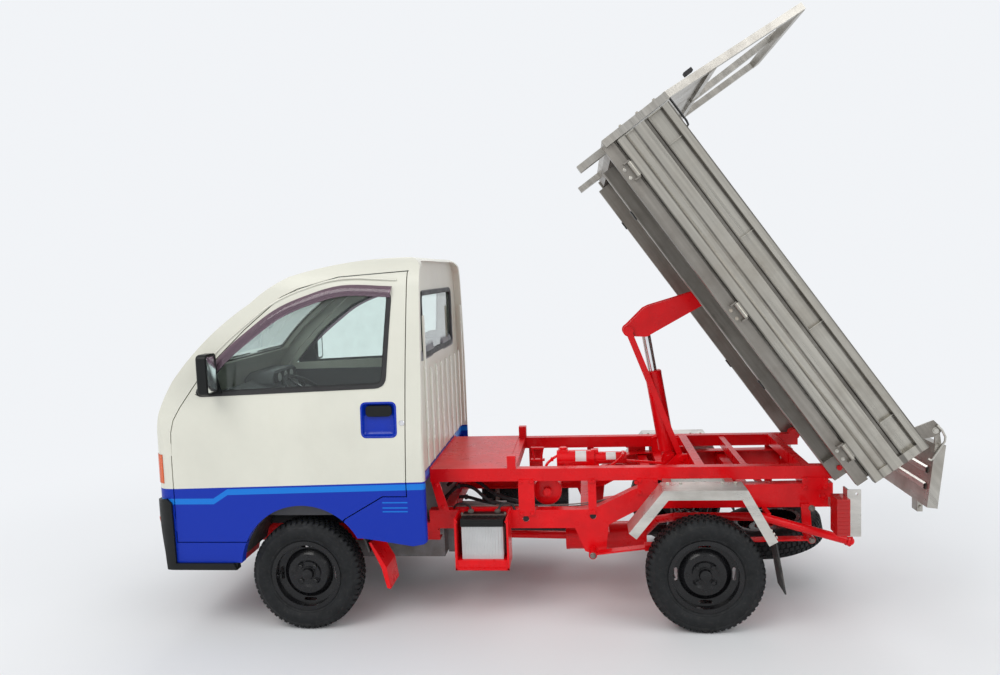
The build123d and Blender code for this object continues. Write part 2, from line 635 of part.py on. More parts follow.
# Steering knuckles: ball foot, upright, strut and drum
ball = bar((0, steer_axis_y, arm_z + 12 + running_gap), (0, steer_axis_y, hub_z), 16)
upright = block(-28, 28, steer_axis_y - 40, steer_axis_y + 6, arm_z + 18, 330)
strut_y = steer_axis_y - 55
strut = bar((0, strut_y, 300), (0, strut_y, 604), 24) + bar((0, strut_y, 300), (0, strut_y + 35, 300), 24)
front_drum = cross_bar((0, hub_z), drum_radius, track_half - 22, track_half + 15.7)
front_stub = cross_bar((0, hub_z), 28, steer_axis_y - 4, track_half + 24)
knuckle = ball + upright + strut + front_drum + front_stub
nodes["knuckle_left"] = knuckle.solids()
nodes["knuckle_right"] = right_of(knuckle).solids()


def revolve_across(points):
    """Solid of revolution about the wheel axis from (y, radius) points; an arc step has its middle first."""
    edges = []
    here = points[0]
    for step in points[1:]:
        first = Vector(0, here[0], here[1])
        last = Vector(0, step[-2], step[-1])
        if len(step) == 4:
            edges.append(Edge.make_three_point_arc(first, Vector(0, step[0], step[1]), last))
        else:
            edges.append(Edge.make_line(first, last))
        here = step[-2:]
    edges.append(Edge.make_line(Vector(0, here[0], here[1]), Vector(0, points[0][0], points[0][1])))
    return revolve(Face(Wire(edges)), Axis.Y, 360)


half_tyre = tyre_width / 2
bead = rim_width / 2 - 6
tyre_points = [
    (-bead, rim_seat + running_gap),
    (-bead, rim_flange + 2),
    (-half_tyre, tyre_radius - 55, -half_tyre + 12, tyre_radius - 18),
    (-half_tyre + 17.3, tyre_radius - 5.4, -half_tyre + 30, tyre_radius),
    (half_tyre - 30, tyre_radius),
    (half_tyre - 17.3, tyre_radius - 5.4, half_tyre - 12, tyre_radius - 18),
    (half_tyre, tyre_radius - 55, bead, rim_flange + 2),
    (bead, rim_seat + running_gap),
]
tyre = revolve_across(tyre_points)

half_rim = rim_width / 2
rim_points = [
    (-half_rim, rim_flange),
    (-half_rim, rim_seat - 8),
    (12, rim_seat - 8),
    (4, 118),
    (22, 94),
    (22, 70),
    (16, 58),
    (16, 30),
    (22, 30),
    (22, 56),
    (28, 68),
    (28, 96),
    (10, 120),
    (18, rim_seat - 8),
    (half_rim, rim_seat - 8),
    (half_rim, rim_flange),
    (half_rim - 5, rim_flange),
    (half_rim - 5, rim_seat),
    (-half_rim + 5, rim_seat),
    (-half_rim + 5, rim_flange),
]
rim = revolve_across(rim_points)
slot = Rot(90, 0, 0) * extrude(SlotOverall(64, 15), 40, both=True)
for turn in (0, 90, 180, 270):
    rim = rim - Rot(0, turn, 0) * Pos(0, 12, 132) * slot

# wheels, each (name, x, side)
wheel_places = [("front_left", 0, 1), ("front_right", 0, -1), ("rear_left", axle_x, 1), ("rear_right", axle_x, -1)]
for name, x, side in wheel_places:
    tyre_here = Pos(x, track_half, hub_z) * tyre
    rim_here = Pos(x, track_half, hub_z) * rim
    if side < 0:
        tyre_here = right_of(tyre_here)
        rim_here = right_of(rim_here)
    nodes["tyre_" + name] = tyre_here.solids()
    nodes["rim_" + name] = rim_here.solids()

spare = spare_place * Rot(90, 0, 0) * Compound([tyre, rim])
sling_top = 262
sling = spare_place * (Pos(0, 0, 12.7) * Cylinder(44, 6) + bar((0, 0, 12), (0, 0, sling_top), 12))
sling_x = axle_x - 425 + sling_top * sin(radians(spare_tilt))
sling = sling + block(sling_x - 15, sling_x + 15, rail_wall - rail_outer, rail_outer - rail_wall, 520, 534)
nodes["spare_wheel"] = spare.solids()
nodes["frame_cross_members"] = members + [sling]

# Bed, drawn lowered and then tipped about its hinge
tip_axis = Axis((hinge_x, 0, hinge_z), (0, -1, 0))


def tipped(shape):
    """A bed piece turned from the lowered to the raised position."""
    return shape.rotate(tip_axis, tip_angle)


def bed_block(u_from, u_to, y_from, y_to, v_from, v_to):
    """Box given along the bed, across the truck and up from the hinge."""
    return block(hinge_x + u_from, hinge_x + u_to, y_from, y_to, hinge_z + v_from, hinge_z + v_to)


def bed_plate(points, y_from, y_to):
    """Plate from (u, v) points."""
    return plate([(hinge_x + u, hinge_z + v) for u, v in points], y_from, y_to)


def tip_point(u, v):
    """World (x, z) of a bed point with the bed raised."""
    turn = radians(tip_angle)
    return (hinge_x + u * cos(turn) - v * sin(turn), hinge_z + u * sin(turn) + v * cos(turn))


rail_in, rail_out = bed_rail_y
side_rail = bed_block(bed_rear_u, bed_front_u, rail_in, rail_out, *bed_rail_v)
floor_sheet = bed_block(bed_rear_u, bed_front_u, -bed_sheet_half, bed_sheet_half, *bed_floor_v)
edge_strip = bed_block(bed_rear_u, bed_front_u, rail_in, rail_in + 6, bed_rail_v[1], bed_floor_v[1])
floor_end = bed_block(bed_rear_u, -4, -rail_in, rail_in, 36, bed_floor_v[0])
front_end = bed_block(bed_front_u - 40, bed_front_u, -rail_in, rail_in, bed_rail_v[0] + 10, bed_floor_v[0])
rear_post = bed_block(-28, 8, 604, rail_in + 9, bed_rail_v[0] + 20, 345)
pivot_line = [(-46, 380), (-46, 420), (-20, 430), (14, 424), (36, 335), (-24, 335)]
pivot_plate = bed_plate(pivot_line, 630, rail_in + 9)
tailgate_pivot = (-27, 405)
pivot_pin = cross_bar((hinge_x + tailgate_pivot[0], hinge_z + tailgate_pivot[1]), 8, 612, rail_in + 10)
side_end = rear_post + pivot_plate + pivot_pin + side_rail + edge_strip
bed_floor = floor_sheet + floor_end + front_end + side_end + right_of(side_end)
hinge_y, hinge_v = gate_hinge
for u in gate_hinge_u:
    for offset in (-46, 39):
        lug = bed_block(u + offset, u + offset + 7, rail_out - 6, hinge_y + 7, hinge_v - 24, hinge_v + 6)
        bed_floor = bed_floor + lug + right_of(lug)
nodes["bed_floor"] = tipped(bed_floor).solids()

sill = bed_block(-4 + running_gap, bed_front_u - 60, *sill_y, sill_bottom_v, bed_floor_v[0])
sill = sill - bed_block(-60, bed_front_u, sill_y[0] + 6, sill_y[1] + 10, sill_bottom_v + 6, bed_floor_v[0] - 6)
sill = sill + bed_block(-40, 60, *sill_y, sill_bottom_v, 36 - running_gap)
sill = sill - cross_bar((hinge_x, hinge_z), hinge_pin + 0.4, 390, 450)
bed_frame = sill + right_of(sill)
for u in (330, 700, 1380, 1690):
    bed_frame = bed_frame + bed_block(u, u + 44, -rail_in, rail_in, 24, bed_floor_v[0])
arm_u, arm_v = arm_pivot
for side in (1, -1):
    ear = bed_plate([(arm_u - 60, 66), (arm_u - 26, arm_v - 22), (arm_u + 26, arm_v - 22), (arm_u + 60, 66)], 80, 92)
    beam = bed_block(arm_u - 90, arm_u + 90, 92, sill_y[0], 40, 66)
    pin = cross_bar((hinge_x + arm_u, hinge_z + arm_v), 10, 44, 96)
    ear_set = ear + beam + pin
    if side < 0:
        ear_set = right_of(ear_set)
    bed_frame = bed_frame + ear_set
nodes["bed_sills"] = tipped(bed_frame).solids()

# Headboard: front panel, two legs, leaning guard posts, middle post and bars
front_u = bed_front_u + running_gap
headboard_top_v = 345
headboard = bed_block(front_u, front_u + 36, -684, 684, bed_rail_v[0] + 14, headboard_top_v)
headboard = headboard - bed_block(front_u + 8, front_u + 40, -640, 640, 90, 315)
for low, high in ((130, 160), (210, 240)):
    headboard = headboard + bed_block(front_u, front_u + 26, -660, 660, low, high)
leg = bed_block(front_u, front_u + 34, 450, 500, -134, headboard_top_v)
guard_post = Solid.extrude(
    Face(
        Wire.make_polygon(
            [
                (bed_front_x + 4, 684, hinge_z + 335),
                (bed_front_x + 4, 640, hinge_z + 335),
                (bed_front_x - 36, 445, hinge_z + guard_top_v),
                (bed_front_x - 36, 485, hinge_z + guard_top_v),
            ]
        )
    ),
    Vector(34, 0, 0),
)
guard = leg + guard_post
guard = guard + right_of(guard)
# sheet between the leaning posts, from the panel up to the middle bar
sheet_top_v = 558
post_share = (sheet_top_v - 335) / (guard_top_v - 335)
sheet_edge_y = 650 - 195 * post_share
sheet_top_x = bed_front_x + 14 - 40 * post_share
guard_sheet = Solid.extrude(
    Face(
        Wire.make_polygon(
            [
                (bed_front_x + 14, 650, hinge_z + 335),
                (bed_front_x + 14, -650, hinge_z + 335),
                (sheet_top_x, -sheet_edge_y, hinge_z + sheet_top_v),
                (sheet_top_x, sheet_edge_y, hinge_z + sheet_top_v),
            ]
        )
    ),
    Vector(3, 0, 0),
)
guard = guard + guard_sheet
guard = guard + bed_block(bed_front_u - 38, bed_front_u, -465, 465, guard_top_v - 40, guard_top_v)
guard = guard + bed_block(bed_front_u - 14, bed_front_u + 20, -600, 600, 556, 596)
guard = guard + bed_block(bed_front_u - 18, bed_front_u + 14, -24, 24, sheet_top_v - 8, guard_top_v)
nodes["headboard"] = tipped(headboard + guard).solids()

# Side gates: rolled section with two folded ribs and a top rail, a cap at the tail, partitions and hinges
gate_in, gate_out = gate_y
# section of the gate, each (y, v)
gate_section = [
    (gate_in, gate_v[0]),
    (gate_out, gate_v[0]),
    (gate_out, 100),
    (gate_out - 11, 112),
    (gate_out - 11, 138),
    (gate_out, 150),
    (gate_out, 202),
    (gate_out - 17, 207),
    (gate_out - 17, 218),
    (gate_out - 8, 222),
    (gate_out - 8, 229),
    (gate_out - 24, 234),
    (gate_out - 24, 293),
    (gate_out, 298),
    (gate_out, gate_v[1]),
    (gate_in, gate_v[1]),
]
gate_corners = [(hinge_x + gate_u[0], y, hinge_z + v) for y, v in gate_section]
gate = Solid.extrude(Face(Wire.make_polygon(gate_corners)), Vector(gate_u[1] - gate_u[0], 0, 0))
gate = gate + bed_block(gate_u[0], gate_u[0] + 40, *gate_y, *gate_v)
gate = gate + bed_block(gate_u[1] - 5, gate_u[1], *gate_y, *gate_v)
for u in gate_partition_u:
    gate = gate + bed_block(u - 2, u + 2, gate_out - 26, gate_out - 3, 226, 300)
for u in gate_hinge_u:
    barrel_start = (hinge_x + u - 38, hinge_y, hinge_z + hinge_v)
    barrel_end = (hinge_x + u + 38, hinge_y, hinge_z + hinge_v)
    neck = bed_block(u - 36, u + 36, gate_out - 8, gate_out + 4, hinge_v, gate_v[0] + 6)
    gate = gate + bar(barrel_start, barrel_end, 9) + neck
nodes["side_gate_left"] = tipped(gate).solids()
nodes["side_gate_right"] = right_of(tipped(gate)).solids()

# Tailgate: hangs open from its two top pivots
tail_u = (-78, -33)
tail_v = (58, 343)
tail_half = 640
tailgate = bed_block(*tail_u, -tail_half, tail_half, *tail_v)
for low, high in ((tail_v[0] + 30, 150), (180, 245), (275, tail_v[1] - 20)):
    tailgate = tailgate - bed_block(tail_u[0] - 10, tail_u[0] + 18, -614, 614, low, high)
ear = bed_plate([(-66, 335), (-46, 419), (-10, 419), (-10, 397), (-34, 372), (-36, 335)], 616, 626)
ear = ear - cross_bar((hinge_x + tailgate_pivot[0], hinge_z + tailgate_pivot[1]), 8.5, 600, 700)
tailgate = tailgate + ear + right_of(ear)
# open angle at which the tailgate's centre of mass hangs below its pivots
tail_middle = tailgate.center(CenterOf.MASS)
drop_x = hinge_x + tailgate_pivot[0] - tail_middle.X
drop_z = hinge_z + tailgate_pivot[1] - tail_middle.Z
hang_angle = tip_angle - degrees(atan2(drop_x, drop_z))
pivot_x, pivot_z = tip_point(*tailgate_pivot)
tail_axis = Axis((pivot_x, 0, pivot_z), (0, -1, 0))
nodes["tailgate"] = tipped(tailgate).rotate(tail_axis, -hang_angle).solids()

# Hoist: the arm hangs from the bed, the link stands on the sub-frame and the cylinder pushes the arm
arm_low = (hinge_x + arm_u, hinge_z + arm_v)
knee_low = (link_foot[0] + link_length, link_foot[1])
arm_length = hypot(knee_low[0] - arm_low[0], knee_low[1] - arm_low[1])
arm_high = tip_point(arm_u, arm_v)
# knee with the bed raised: where the link's circle meets the arm's, on the forward side
gap_x = arm_high[0] - link_foot[0]
gap_z = arm_high[1] - link_foot[1]
gap = hypot(gap_x, gap_z)
along = (link_length**2 - arm_length**2 + gap**2) / (2 * gap)
off = (link_length**2 - along**2) ** 0.5
knee_high = (
    link_foot[0] + gap_x / gap * along + gap_z / gap * off,
    link_foot[1] + gap_z / gap * along - gap_x / gap * off,
)


def rod_eye(pivot, knee):
    """Place of the rod's eye on the arm for one position of the arm."""
    unit_x = (knee[0] - pivot[0]) / arm_length
    unit_z = (knee[1] - pivot[1]) / arm_length
    return (
        pivot[0] + unit_x * rod_eye_along + unit_z * rod_eye_below,
        pivot[1] + unit_z * rod_eye_along - unit_x * rod_eye_below,
    )


eye_high = rod_eye(arm_high, knee_high)
eye_low = rod_eye(arm_low, knee_low)


def angle_of(start, end):
    """Angle of a line in the side view, counted from forward towards up."""
    return degrees(atan2(end[1] - start[1], end[0] - start[0]))


arm_turn = angle_of(arm_high, knee_high) - angle_of(arm_low, knee_low) - tip_angle
link_turn = angle_of(link_foot, knee_high) - angle_of(link_foot, knee_low)
cylinder_turn = angle_of(cylinder_foot, eye_high) - angle_of(cylinder_foot, eye_low)
stroke = hypot(eye_high[0] - cylinder_foot[0], eye_high[1] - cylinder_foot[1]) - hypot(
    eye_low[0] - cylinder_foot[0], eye_low[1] - cylinder_foot[1]
)


def limb(first, last, half_width, y_from, y_to):
    """Flat bar with round ends between two (x, z) places."""
    run = hypot(last[0] - first[0], last[1] - first[1])
    nx = -(last[1] - first[1]) / run * half_width
    nz = (last[0] - first[0]) / run * half_width
    corners = [
        (first[0] + nx, first[1] + nz),
        (last[0] + nx, last[1] + nz),
        (last[0] - nx, last[1] - nz),
        (first[0] - nx, first[1] - nz),
    ]
    flat = plate(corners, y_from, y_to)
    return flat + cross_bar(first, half_width, y_from, y_to) + cross_bar(last, half_width, y_from, y_to)


def on_arm(forward, up):
    """World (x, z) of a point given along the arm from its pivot and square to it."""
    unit_x = (knee_high[0] - arm_high[0]) / arm_length
    unit_z = (knee_high[1] - arm_high[1]) / arm_length
    return (arm_high[0] + unit_x * forward - unit_z * up, arm_high[1] + unit_z * forward + unit_x * up)


# dog-leg outline of each arm plate, each (along, above) from the pivot towards the knee
arm_points = [(-12, 27), (264, 72), (296, 72), (434, 24), (425, -28), (350, -68), (325, -68), (10, -48), (-24, -18)]
arm_side = plate([on_arm(*point) for point in arm_points], 46, 58)
for place in (arm_high, knee_high, eye_high):
    arm_side = arm_side + cross_bar(place, 30, 46, 58)
arm_side = arm_side - cross_bar(arm_high, 10.4, 40, 70) + cross_bar(eye_high, 24, 38.3, 47)
arm_side = arm_side + cross_bar(knee_high, 17, 45, 59)
arm_tube = cross_bar(on_arm(280, 50), 12, -50, 50)
nodes["lift_arm"] = (arm_side + right_of(arm_side) + arm_tube).solids()

link_side = limb(link_foot, knee_high, 15, 62, 74)
link_side = link_side + cross_bar(link_foot, 24, 62, 74) + cross_bar(knee_high, 24, 62, 74)
link_side = link_side - cross_bar(link_foot, 11.4, 50, 80)
nodes["tension_link"] = link_side.solids() + right_of(link_side).solids()

push_x = eye_high[0] - cylinder_foot[0]
push_z = eye_high[1] - cylinder_foot[1]
push = hypot(push_x, push_z)
push_dir = (push_x / push, push_z / push)


def on_cylinder(distance):
    """Point on the cylinder's line at a distance from its foot."""
    return (cylinder_foot[0] + push_dir[0] * distance, 0, cylinder_foot[1] + push_dir[1] * distance)


barrel = bar(on_cylinder(30), on_cylinder(30 + barrel_length), barrel_radius)
barrel = barrel - bar(on_cylinder(50), on_cylinder(40 + barrel_length), rod_radius + 0.4)
barrel = barrel + cross_bar(cylinder_foot, 34, -40, 40) - cross_bar(cylinder_foot, 12.4, -60, 60)
nodes["lift_cylinder"] = barrel.solids()
rod = bar(on_cylinder(60 + stroke), on_cylinder(push - 10), rod_radius) + cross_bar(eye_high, 30, -38, 38)
nodes["lift_rod"] = rod.solids()

# Place the origin at the bottom centre of the whole truck and write the pieces
pieces = [piece for group in nodes.values() for piece in group]
extent = Compound(pieces).bounding_box()
origin = ((extent.min.X + extent.max.X) / 2, (extent.min.Y + extent.max.Y) / 2, extent.min.Z)
for name, group in nodes.items():
    export_step(Pos(-origin[0], -origin[1], -origin[2]) * Compound(group), "parts/" + name + ".step")
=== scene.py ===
import json
from math import cos, pi, radians, sin, sqrt

import bmesh
import bpy
from mathutils import Matrix, Vector
from mathutils.bvhtree import BVHTree


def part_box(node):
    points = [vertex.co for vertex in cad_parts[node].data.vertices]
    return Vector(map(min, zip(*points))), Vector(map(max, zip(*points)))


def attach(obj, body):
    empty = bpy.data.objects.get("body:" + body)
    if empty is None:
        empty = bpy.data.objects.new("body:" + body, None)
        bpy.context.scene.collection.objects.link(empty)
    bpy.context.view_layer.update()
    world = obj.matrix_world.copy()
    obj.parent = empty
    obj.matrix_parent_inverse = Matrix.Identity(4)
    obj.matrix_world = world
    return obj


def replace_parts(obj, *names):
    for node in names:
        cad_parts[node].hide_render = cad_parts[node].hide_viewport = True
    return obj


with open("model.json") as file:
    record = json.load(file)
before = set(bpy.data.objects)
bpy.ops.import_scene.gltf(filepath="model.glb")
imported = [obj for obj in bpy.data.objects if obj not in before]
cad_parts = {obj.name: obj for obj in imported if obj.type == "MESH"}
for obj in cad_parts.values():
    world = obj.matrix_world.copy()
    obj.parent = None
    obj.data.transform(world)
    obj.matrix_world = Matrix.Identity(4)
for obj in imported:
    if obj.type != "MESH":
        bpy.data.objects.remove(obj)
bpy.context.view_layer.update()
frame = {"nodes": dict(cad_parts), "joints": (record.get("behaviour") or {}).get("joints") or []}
nodes = frame["nodes"]
joints = {joint["name"]: joint for joint in frame["joints"]}

# Places: at() takes millimetres forward of the front axle, left and up; on_bed() takes them along the
# bed from its hinge, left, and up from the hinge, with the bed raised as it is stored.
MM = 0.001
OUT, UP, AHEAD = Vector((0, 1, 0)), Vector((0, 0, 1)), Vector((1, 0, 0))
SIDES = ((1, "left"), (-1, "right"))
BOTH = (1, -1)
WHEELS = ("front_left", "front_right", "rear_left", "rear_right")
REAR_AXLE_X = -1885
CAB_BACK_X = -606
RAIL_Y = 391
SCREEN_FOOT, SCREEN_TOP = (600, 1262), (535, 1572)  # half width and height of the windscreen's edges
axle_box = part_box("tyre_front_left")
axle_x = (axle_box[0].x + axle_box[1].x) / 2
hinge = Vector(joints["bed_tilt"]["pos_m"])
tip = radians(-joints["bed_tilt"]["range_deg"][0])
bed_along = Vector((cos(tip), 0, sin(tip)))
bed_above = Vector((-sin(tip), 0, cos(tip)))


def at(x, y, z):
    return Vector((axle_x + x * MM, y * MM, z * MM))


def on_bed(u, y, v):
    return hinge + bed_along * (u * MM) + bed_above * (v * MM) + OUT * (y * MM)


def facing_back(x):
    """Placing function for (y, z) outlines on an upright plane at x, with lifts towards the rear."""
    return lambda p, lift: at(x - lift, p.x, p.y)


# Outlines and paths

def side_axes(direction):
    d = direction.normalized()
    helper = UP if abs(d.z) < 0.9 else AHEAD
    first = d.cross(helper).normalized()
    return first, d.cross(first).normalized()


def around(count, start=0.0):
    """Angles of count places spread evenly round a circle."""
    return [start + 2 * pi * k / count for k in range(count)]


def ring(centre, first, second, radius, sides):
    return [centre + first * (radius * cos(t)) + second * (radius * sin(t)) for t in around(sides)]


def smooth_path(points, steps=8):
    """Catmull-Rom curve through the points."""
    ends = [points[0] * 2 - points[1]] + list(points) + [points[-1] * 2 - points[-2]]
    path = []
    for a, b, c, d in zip(ends, ends[1:], ends[2:], ends[3:]):
        for i in range(steps):
            t = i / steps
            square = (2 * a - 5 * b + 4 * c - d) * t * t
            cube = (3 * b - a - 3 * c + d) * t**3
            path.append(0.5 * ((2 * b) + (c - a) * t + square + cube))
    path.append(points[-1])
    return path


def run_of(points):
    """Smooth path through (x, y, z) places in millimetres."""
    return smooth_path([at(*p) for p in points])


def round_corners(points, radius, steps=5):
    """Closed 2-D outline with each corner replaced by a short arc-like curve."""
    out = []
    for i, point in enumerate(points):
        a, b, c = Vector(points[i - 1]), Vector(point), Vector(points[(i + 1) % len(points)])
        back = min(radius, (a - b).length * 0.45)
        ahead = min(radius, (c - b).length * 0.45)
        start = b + (a - b).normalized() * back
        end = b + (c - b).normalized() * ahead
        for k in range(steps + 1):
            t = k / steps
            out.append(start * (1 - t) ** 2 + b * (2 * t * (1 - t)) + end * t * t)
    return out


def box_outline(x0, x1, z0, z1, radius, steps=5):
    return round_corners([(x0, z0), (x1, z0), (x1, z1), (x0, z1)], radius, steps)


def densify(points, longest):
    """Closed outline with long straight stretches split."""
    out = []
    for a, b in zip(points, points[1:] + points[:1]):
        count = max(1, int((b - a).length / longest))
        out += [a + (b - a) * (i / count) for i in range(count)]
    return out


def refine(points, steps=6):
    """Smooth 2-D path through the points."""
    flat = smooth_path([Vector((x, z, 0)) for x, z in points], steps)
    return [Vector((p.x, p.y)) for p in flat]


# Mesh building

def linked(name, data):
    made = bpy.data.objects.new(name, data)
    bpy.context.scene.collection.objects.link(made)
    return made


def smoothed(mesh):
    for face in mesh.polygons:
        face.use_smooth = True


class Shape:
    """A mesh under construction: points come from placing functions, radii are in millimetres."""

    def __init__(self):
        self.bm = bmesh.new()

    def face(self, points):
        self.bm.faces.new([self.bm.verts.new(p) for p in points])

    def box(self, low, high, place=at):
        """Box between two corners given in a placing function's own coordinates."""
        (x0, y0, z0), (x1, y1, z1) = low, high
        corners = [(x, y, z) for x in (x0, x1) for y in (y0, y1) for z in (z0, z1)]
        verts = [self.bm.verts.new(place(*corner)) for corner in corners]
        for quad in ((0, 1, 3, 2), (4, 6, 7, 5), (0, 4, 5, 1), (2, 3, 7, 6), (0, 2, 6, 4), (1, 5, 7, 3)):
            self.bm.faces.new([verts[i] for i in quad])

    def rings(self, rings, closed=False, caps=True):
        """Skin over a list of rings of equal length."""
        made = [[self.bm.verts.new(p) for p in ring] for ring in rings]
        count = len(made[0])
        pairs = list(zip(made, made[1:]))
        if closed:
            pairs.append((made[-1], made[0]))
        for one, two in pairs:
            for i in range(count):
                j = (i + 1) % count
                self.bm.faces.new((one[i], one[j], two[j], two[i]))
        if caps and not closed:
            self.bm.faces.new(made[0][::-1])
            self.bm.faces.new(made[-1])

    def patch(self, rows):
        """Sheet over a grid of points."""
        made = [[self.bm.verts.new(p) for p in row] for row in rows]
        for one, two in zip(made, made[1:]):
            for i in range(len(one) - 1):
                self.bm.faces.new((one[i], one[i + 1], two[i + 1], two[i]))

    def turned(self, centre, axis, profile, sides=24):
        """Turned piece: profile is (distance along the axis, radius)."""
        first, second = side_axes(axis)
        d = axis.normalized()
        thinnest = 0.05
        self.rings([ring(centre + d * (a * MM), first, second, max(r, thinnest) * MM, sides)
                    for a, r in profile])

    def rod(self, start, end, radius, sides=12):
        length = (end - start).length / MM
        edge = min(radius * 0.15, 1.0)
        profile = [(0, radius - edge), (edge, radius), (length - edge, radius), (length, radius - edge)]
        self.turned(start, end - start, profile, sides)

    def tube(self, path, radius, sides=10, closed=False):
        """Round tube along a path of points."""
        rings = []
        first = None
        for i, point in enumerate(path):
            before = path[i - 1] if i or closed else path[0]
            after = path[(i + 1) % len(path)] if i + 1 < len(path) or closed else path[-1]
            d = (after - before).normalized()
            if first is None:
                first = side_axes(d)[0]
            first = (first - d * first.dot(d)).normalized()
            rings.append(ring(point, first, d.cross(first), radius * MM, sides))
        self.rings(rings, closed)

    def bolt(self, place, axis, across=13, height=8):
        """Hexagon head with a chamfer, on a washer."""
        self.turned(place, axis, [(0, across * 0.72), (1.6, across * 0.72), (2.0, across * 0.66)], 16)
        radius = across / sqrt(3)
        self.turned(place, axis, [(1.5, radius), (height - 1.2, radius), (height, radius * 0.86)], 6)

    def band(self, outline, section, place):
        """Band along a closed outline: section is (outward in the outline's plane, off the surface)."""
        count = len(outline)
        area = sum(a.x * b.y - b.x * a.y for a, b in zip(outline, outline[1:] + outline[:1]))
        side = 1 if area > 0 else -1
        rings = []
        for i in range(count):
            run = (outline[(i + 1) % count] - outline[i - 1]).normalized()
            away = Vector((run.y, -run.x)) * side
            rings.append([place(outline[i] + away * offset, lift) for offset, lift in section])
        self.rings(rings, closed=True)

    def slab(self, outline, place, low, high, edge=0.0):
        """Flat or bent slab over an outline, between two lifts, with an optional soft edge."""
        middle = sum(outline, Vector((0, 0))) / len(outline)
        inner = [p + (middle - p).normalized() * edge for p in outline]
        rings = [[place(p, low) for p in outline], [place(p, high - edge * 0.6) for p in outline]]
        if edge:
            rings.append([place(p, high) for p in inner])
        self.rings(rings)

    def mesh(self, name, finish, sharp_angle):
        """Ends the construction: a smooth-shaded mesh, with edges above the angle kept sharp."""
        bmesh.ops.recalc_face_normals(self.bm, faces=self.bm.faces)
        mesh = bpy.data.meshes.new(name)
        self.bm.to_mesh(mesh)
        self.bm.free()
        mesh.materials.append(finish.mat)
        smoothed(mesh)
        if sharp_angle:
            mesh.set_sharp_from_angle(angle=radians(sharp_angle))
        return mesh


class Piece(Shape):
    """A named piece that rides on a body. Leaving its with block makes the object."""

    def __init__(self, name, finish, body="chassis", bevel=0.0, segments=2):
        super().__init__()
        self.name, self.finish, self.body = name, finish, body
        self.bevel, self.segments = bevel, segments

    def __enter__(self):
        return self

    def __exit__(self, failure, *rest):
        if failure:
            return
        bmesh.ops.remove_doubles(self.bm, verts=self.bm.verts, dist=1e-6)
        self.object = linked(self.name, self.mesh(self.name, self.finish, 0 if self.bevel else 35))
        if self.bevel:
            rounding = self.object.modifiers.new("rounding", "BEVEL")
            rounding.width = self.bevel * MM
            rounding.segments = self.segments
            rounding.limit_method = "ANGLE"
            rounding.angle_limit = radians(40)
            rounding.harden_normals = True
        if self.body:
            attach(self.object, self.body)


# Materials

def add_node(tree, kind, inputs=(), **settings):
    """Shader node with its settings, and its inputs as values or as sockets to link."""
    node = tree.nodes.new("ShaderNode" + kind)
    for key, value in settings.items():
        setattr(node, key, value)
    for key, value in dict(inputs).items():
        if isinstance(value, bpy.types.NodeSocket):
            tree.links.new(value, node.inputs[key])
        else:
            node.inputs[key].default_value = value
    return node


def shade(colour, factor):
    return tuple(min(1, c * factor) for c in colour)


class Finish:
    """A material on one Principled shader, with short calls for its texture nodes."""

    def __init__(self, name, inputs=()):
        self.mat = bpy.data.materials.new(name)
        self.mat.use_nodes = True
        self.tree = self.mat.node_tree
        self.shader = self.tree.nodes["Principled BSDF"]
        self.coord = self.add("TexCoord").outputs["Object"]
        for key, value in dict(inputs).items():
            self.shader.inputs[key].default_value = value

    def add(self, kind, inputs=(), **settings):
        return add_node(self.tree, kind, inputs, **settings)

    def mapped(self, key, value):
        return self.add("Mapping", {"Vector": self.coord, key: value}).outputs["Vector"]

    def noise(self, scale, detail=4.0, rough=0.55, stretch=None):
        place = self.mapped("Scale", stretch) if stretch else self.coord
        inputs = {"Vector": place, "Scale": scale, "Detail": detail, "Roughness": rough}
        return self.add("TexNoise", inputs).outputs["Fac"]

    def wave(self, scale, axis, distortion=0.0):
        inputs = {"Vector": self.coord, "Scale": scale, "Distortion": distortion}
        return self.add("TexWave", inputs, bands_direction=axis).outputs["Fac"]

    def range(self, value, low, high, to_low=0.0, to_high=1.0, shape="LINEAR"):
        inputs = {"Value": value, "From Min": low, "From Max": high, "To Min": to_low, "To Max": to_high}
        return self.add("MapRange", inputs, interpolation_type=shape).outputs["Result"]

    def math(self, kind, one, two):
        return self.add("Math", {0: one, 1: two}, operation=kind).outputs[0]

    def bands(self, value, bands, fade):
        """1 within half of any band's middle, falling to 0 over the fade."""
        total = 0.0
        for middle, half in bands:
            off = self.math("ABSOLUTE", self.math("SUBTRACT", value, middle), 0.0)
            total = self.math("MAXIMUM", total, self.range(off, half + fade, half))
        return total

    def part(self, axis):
        return self.add("SeparateXYZ", {0: self.coord}).outputs[axis]

    def mix(self, factor, one, two):
        one, two = (c if isinstance(c, bpy.types.NodeSocket) else (*c, 1) for c in (one, two))
        return self.add("Mix", {0: factor, 6: one, 7: two}, data_type="RGBA").outputs[2]

    def vary(self, factor, colour, low, high):
        """The colour, from darker to lighter."""
        return self.mix(factor, shade(colour, low), shade(colour, high))

    def set(self, key, value):
        self.tree.links.new(value, self.shader.inputs[key])

    def bump(self, height, depth, after=None):
        inputs = {"Strength": 1.0, "Distance": depth * MM, "Height": height}
        if after:
            inputs["Normal"] = after
        normal = self.add("Bump", inputs).outputs[0]
        self.set("Normal", normal)
        return normal


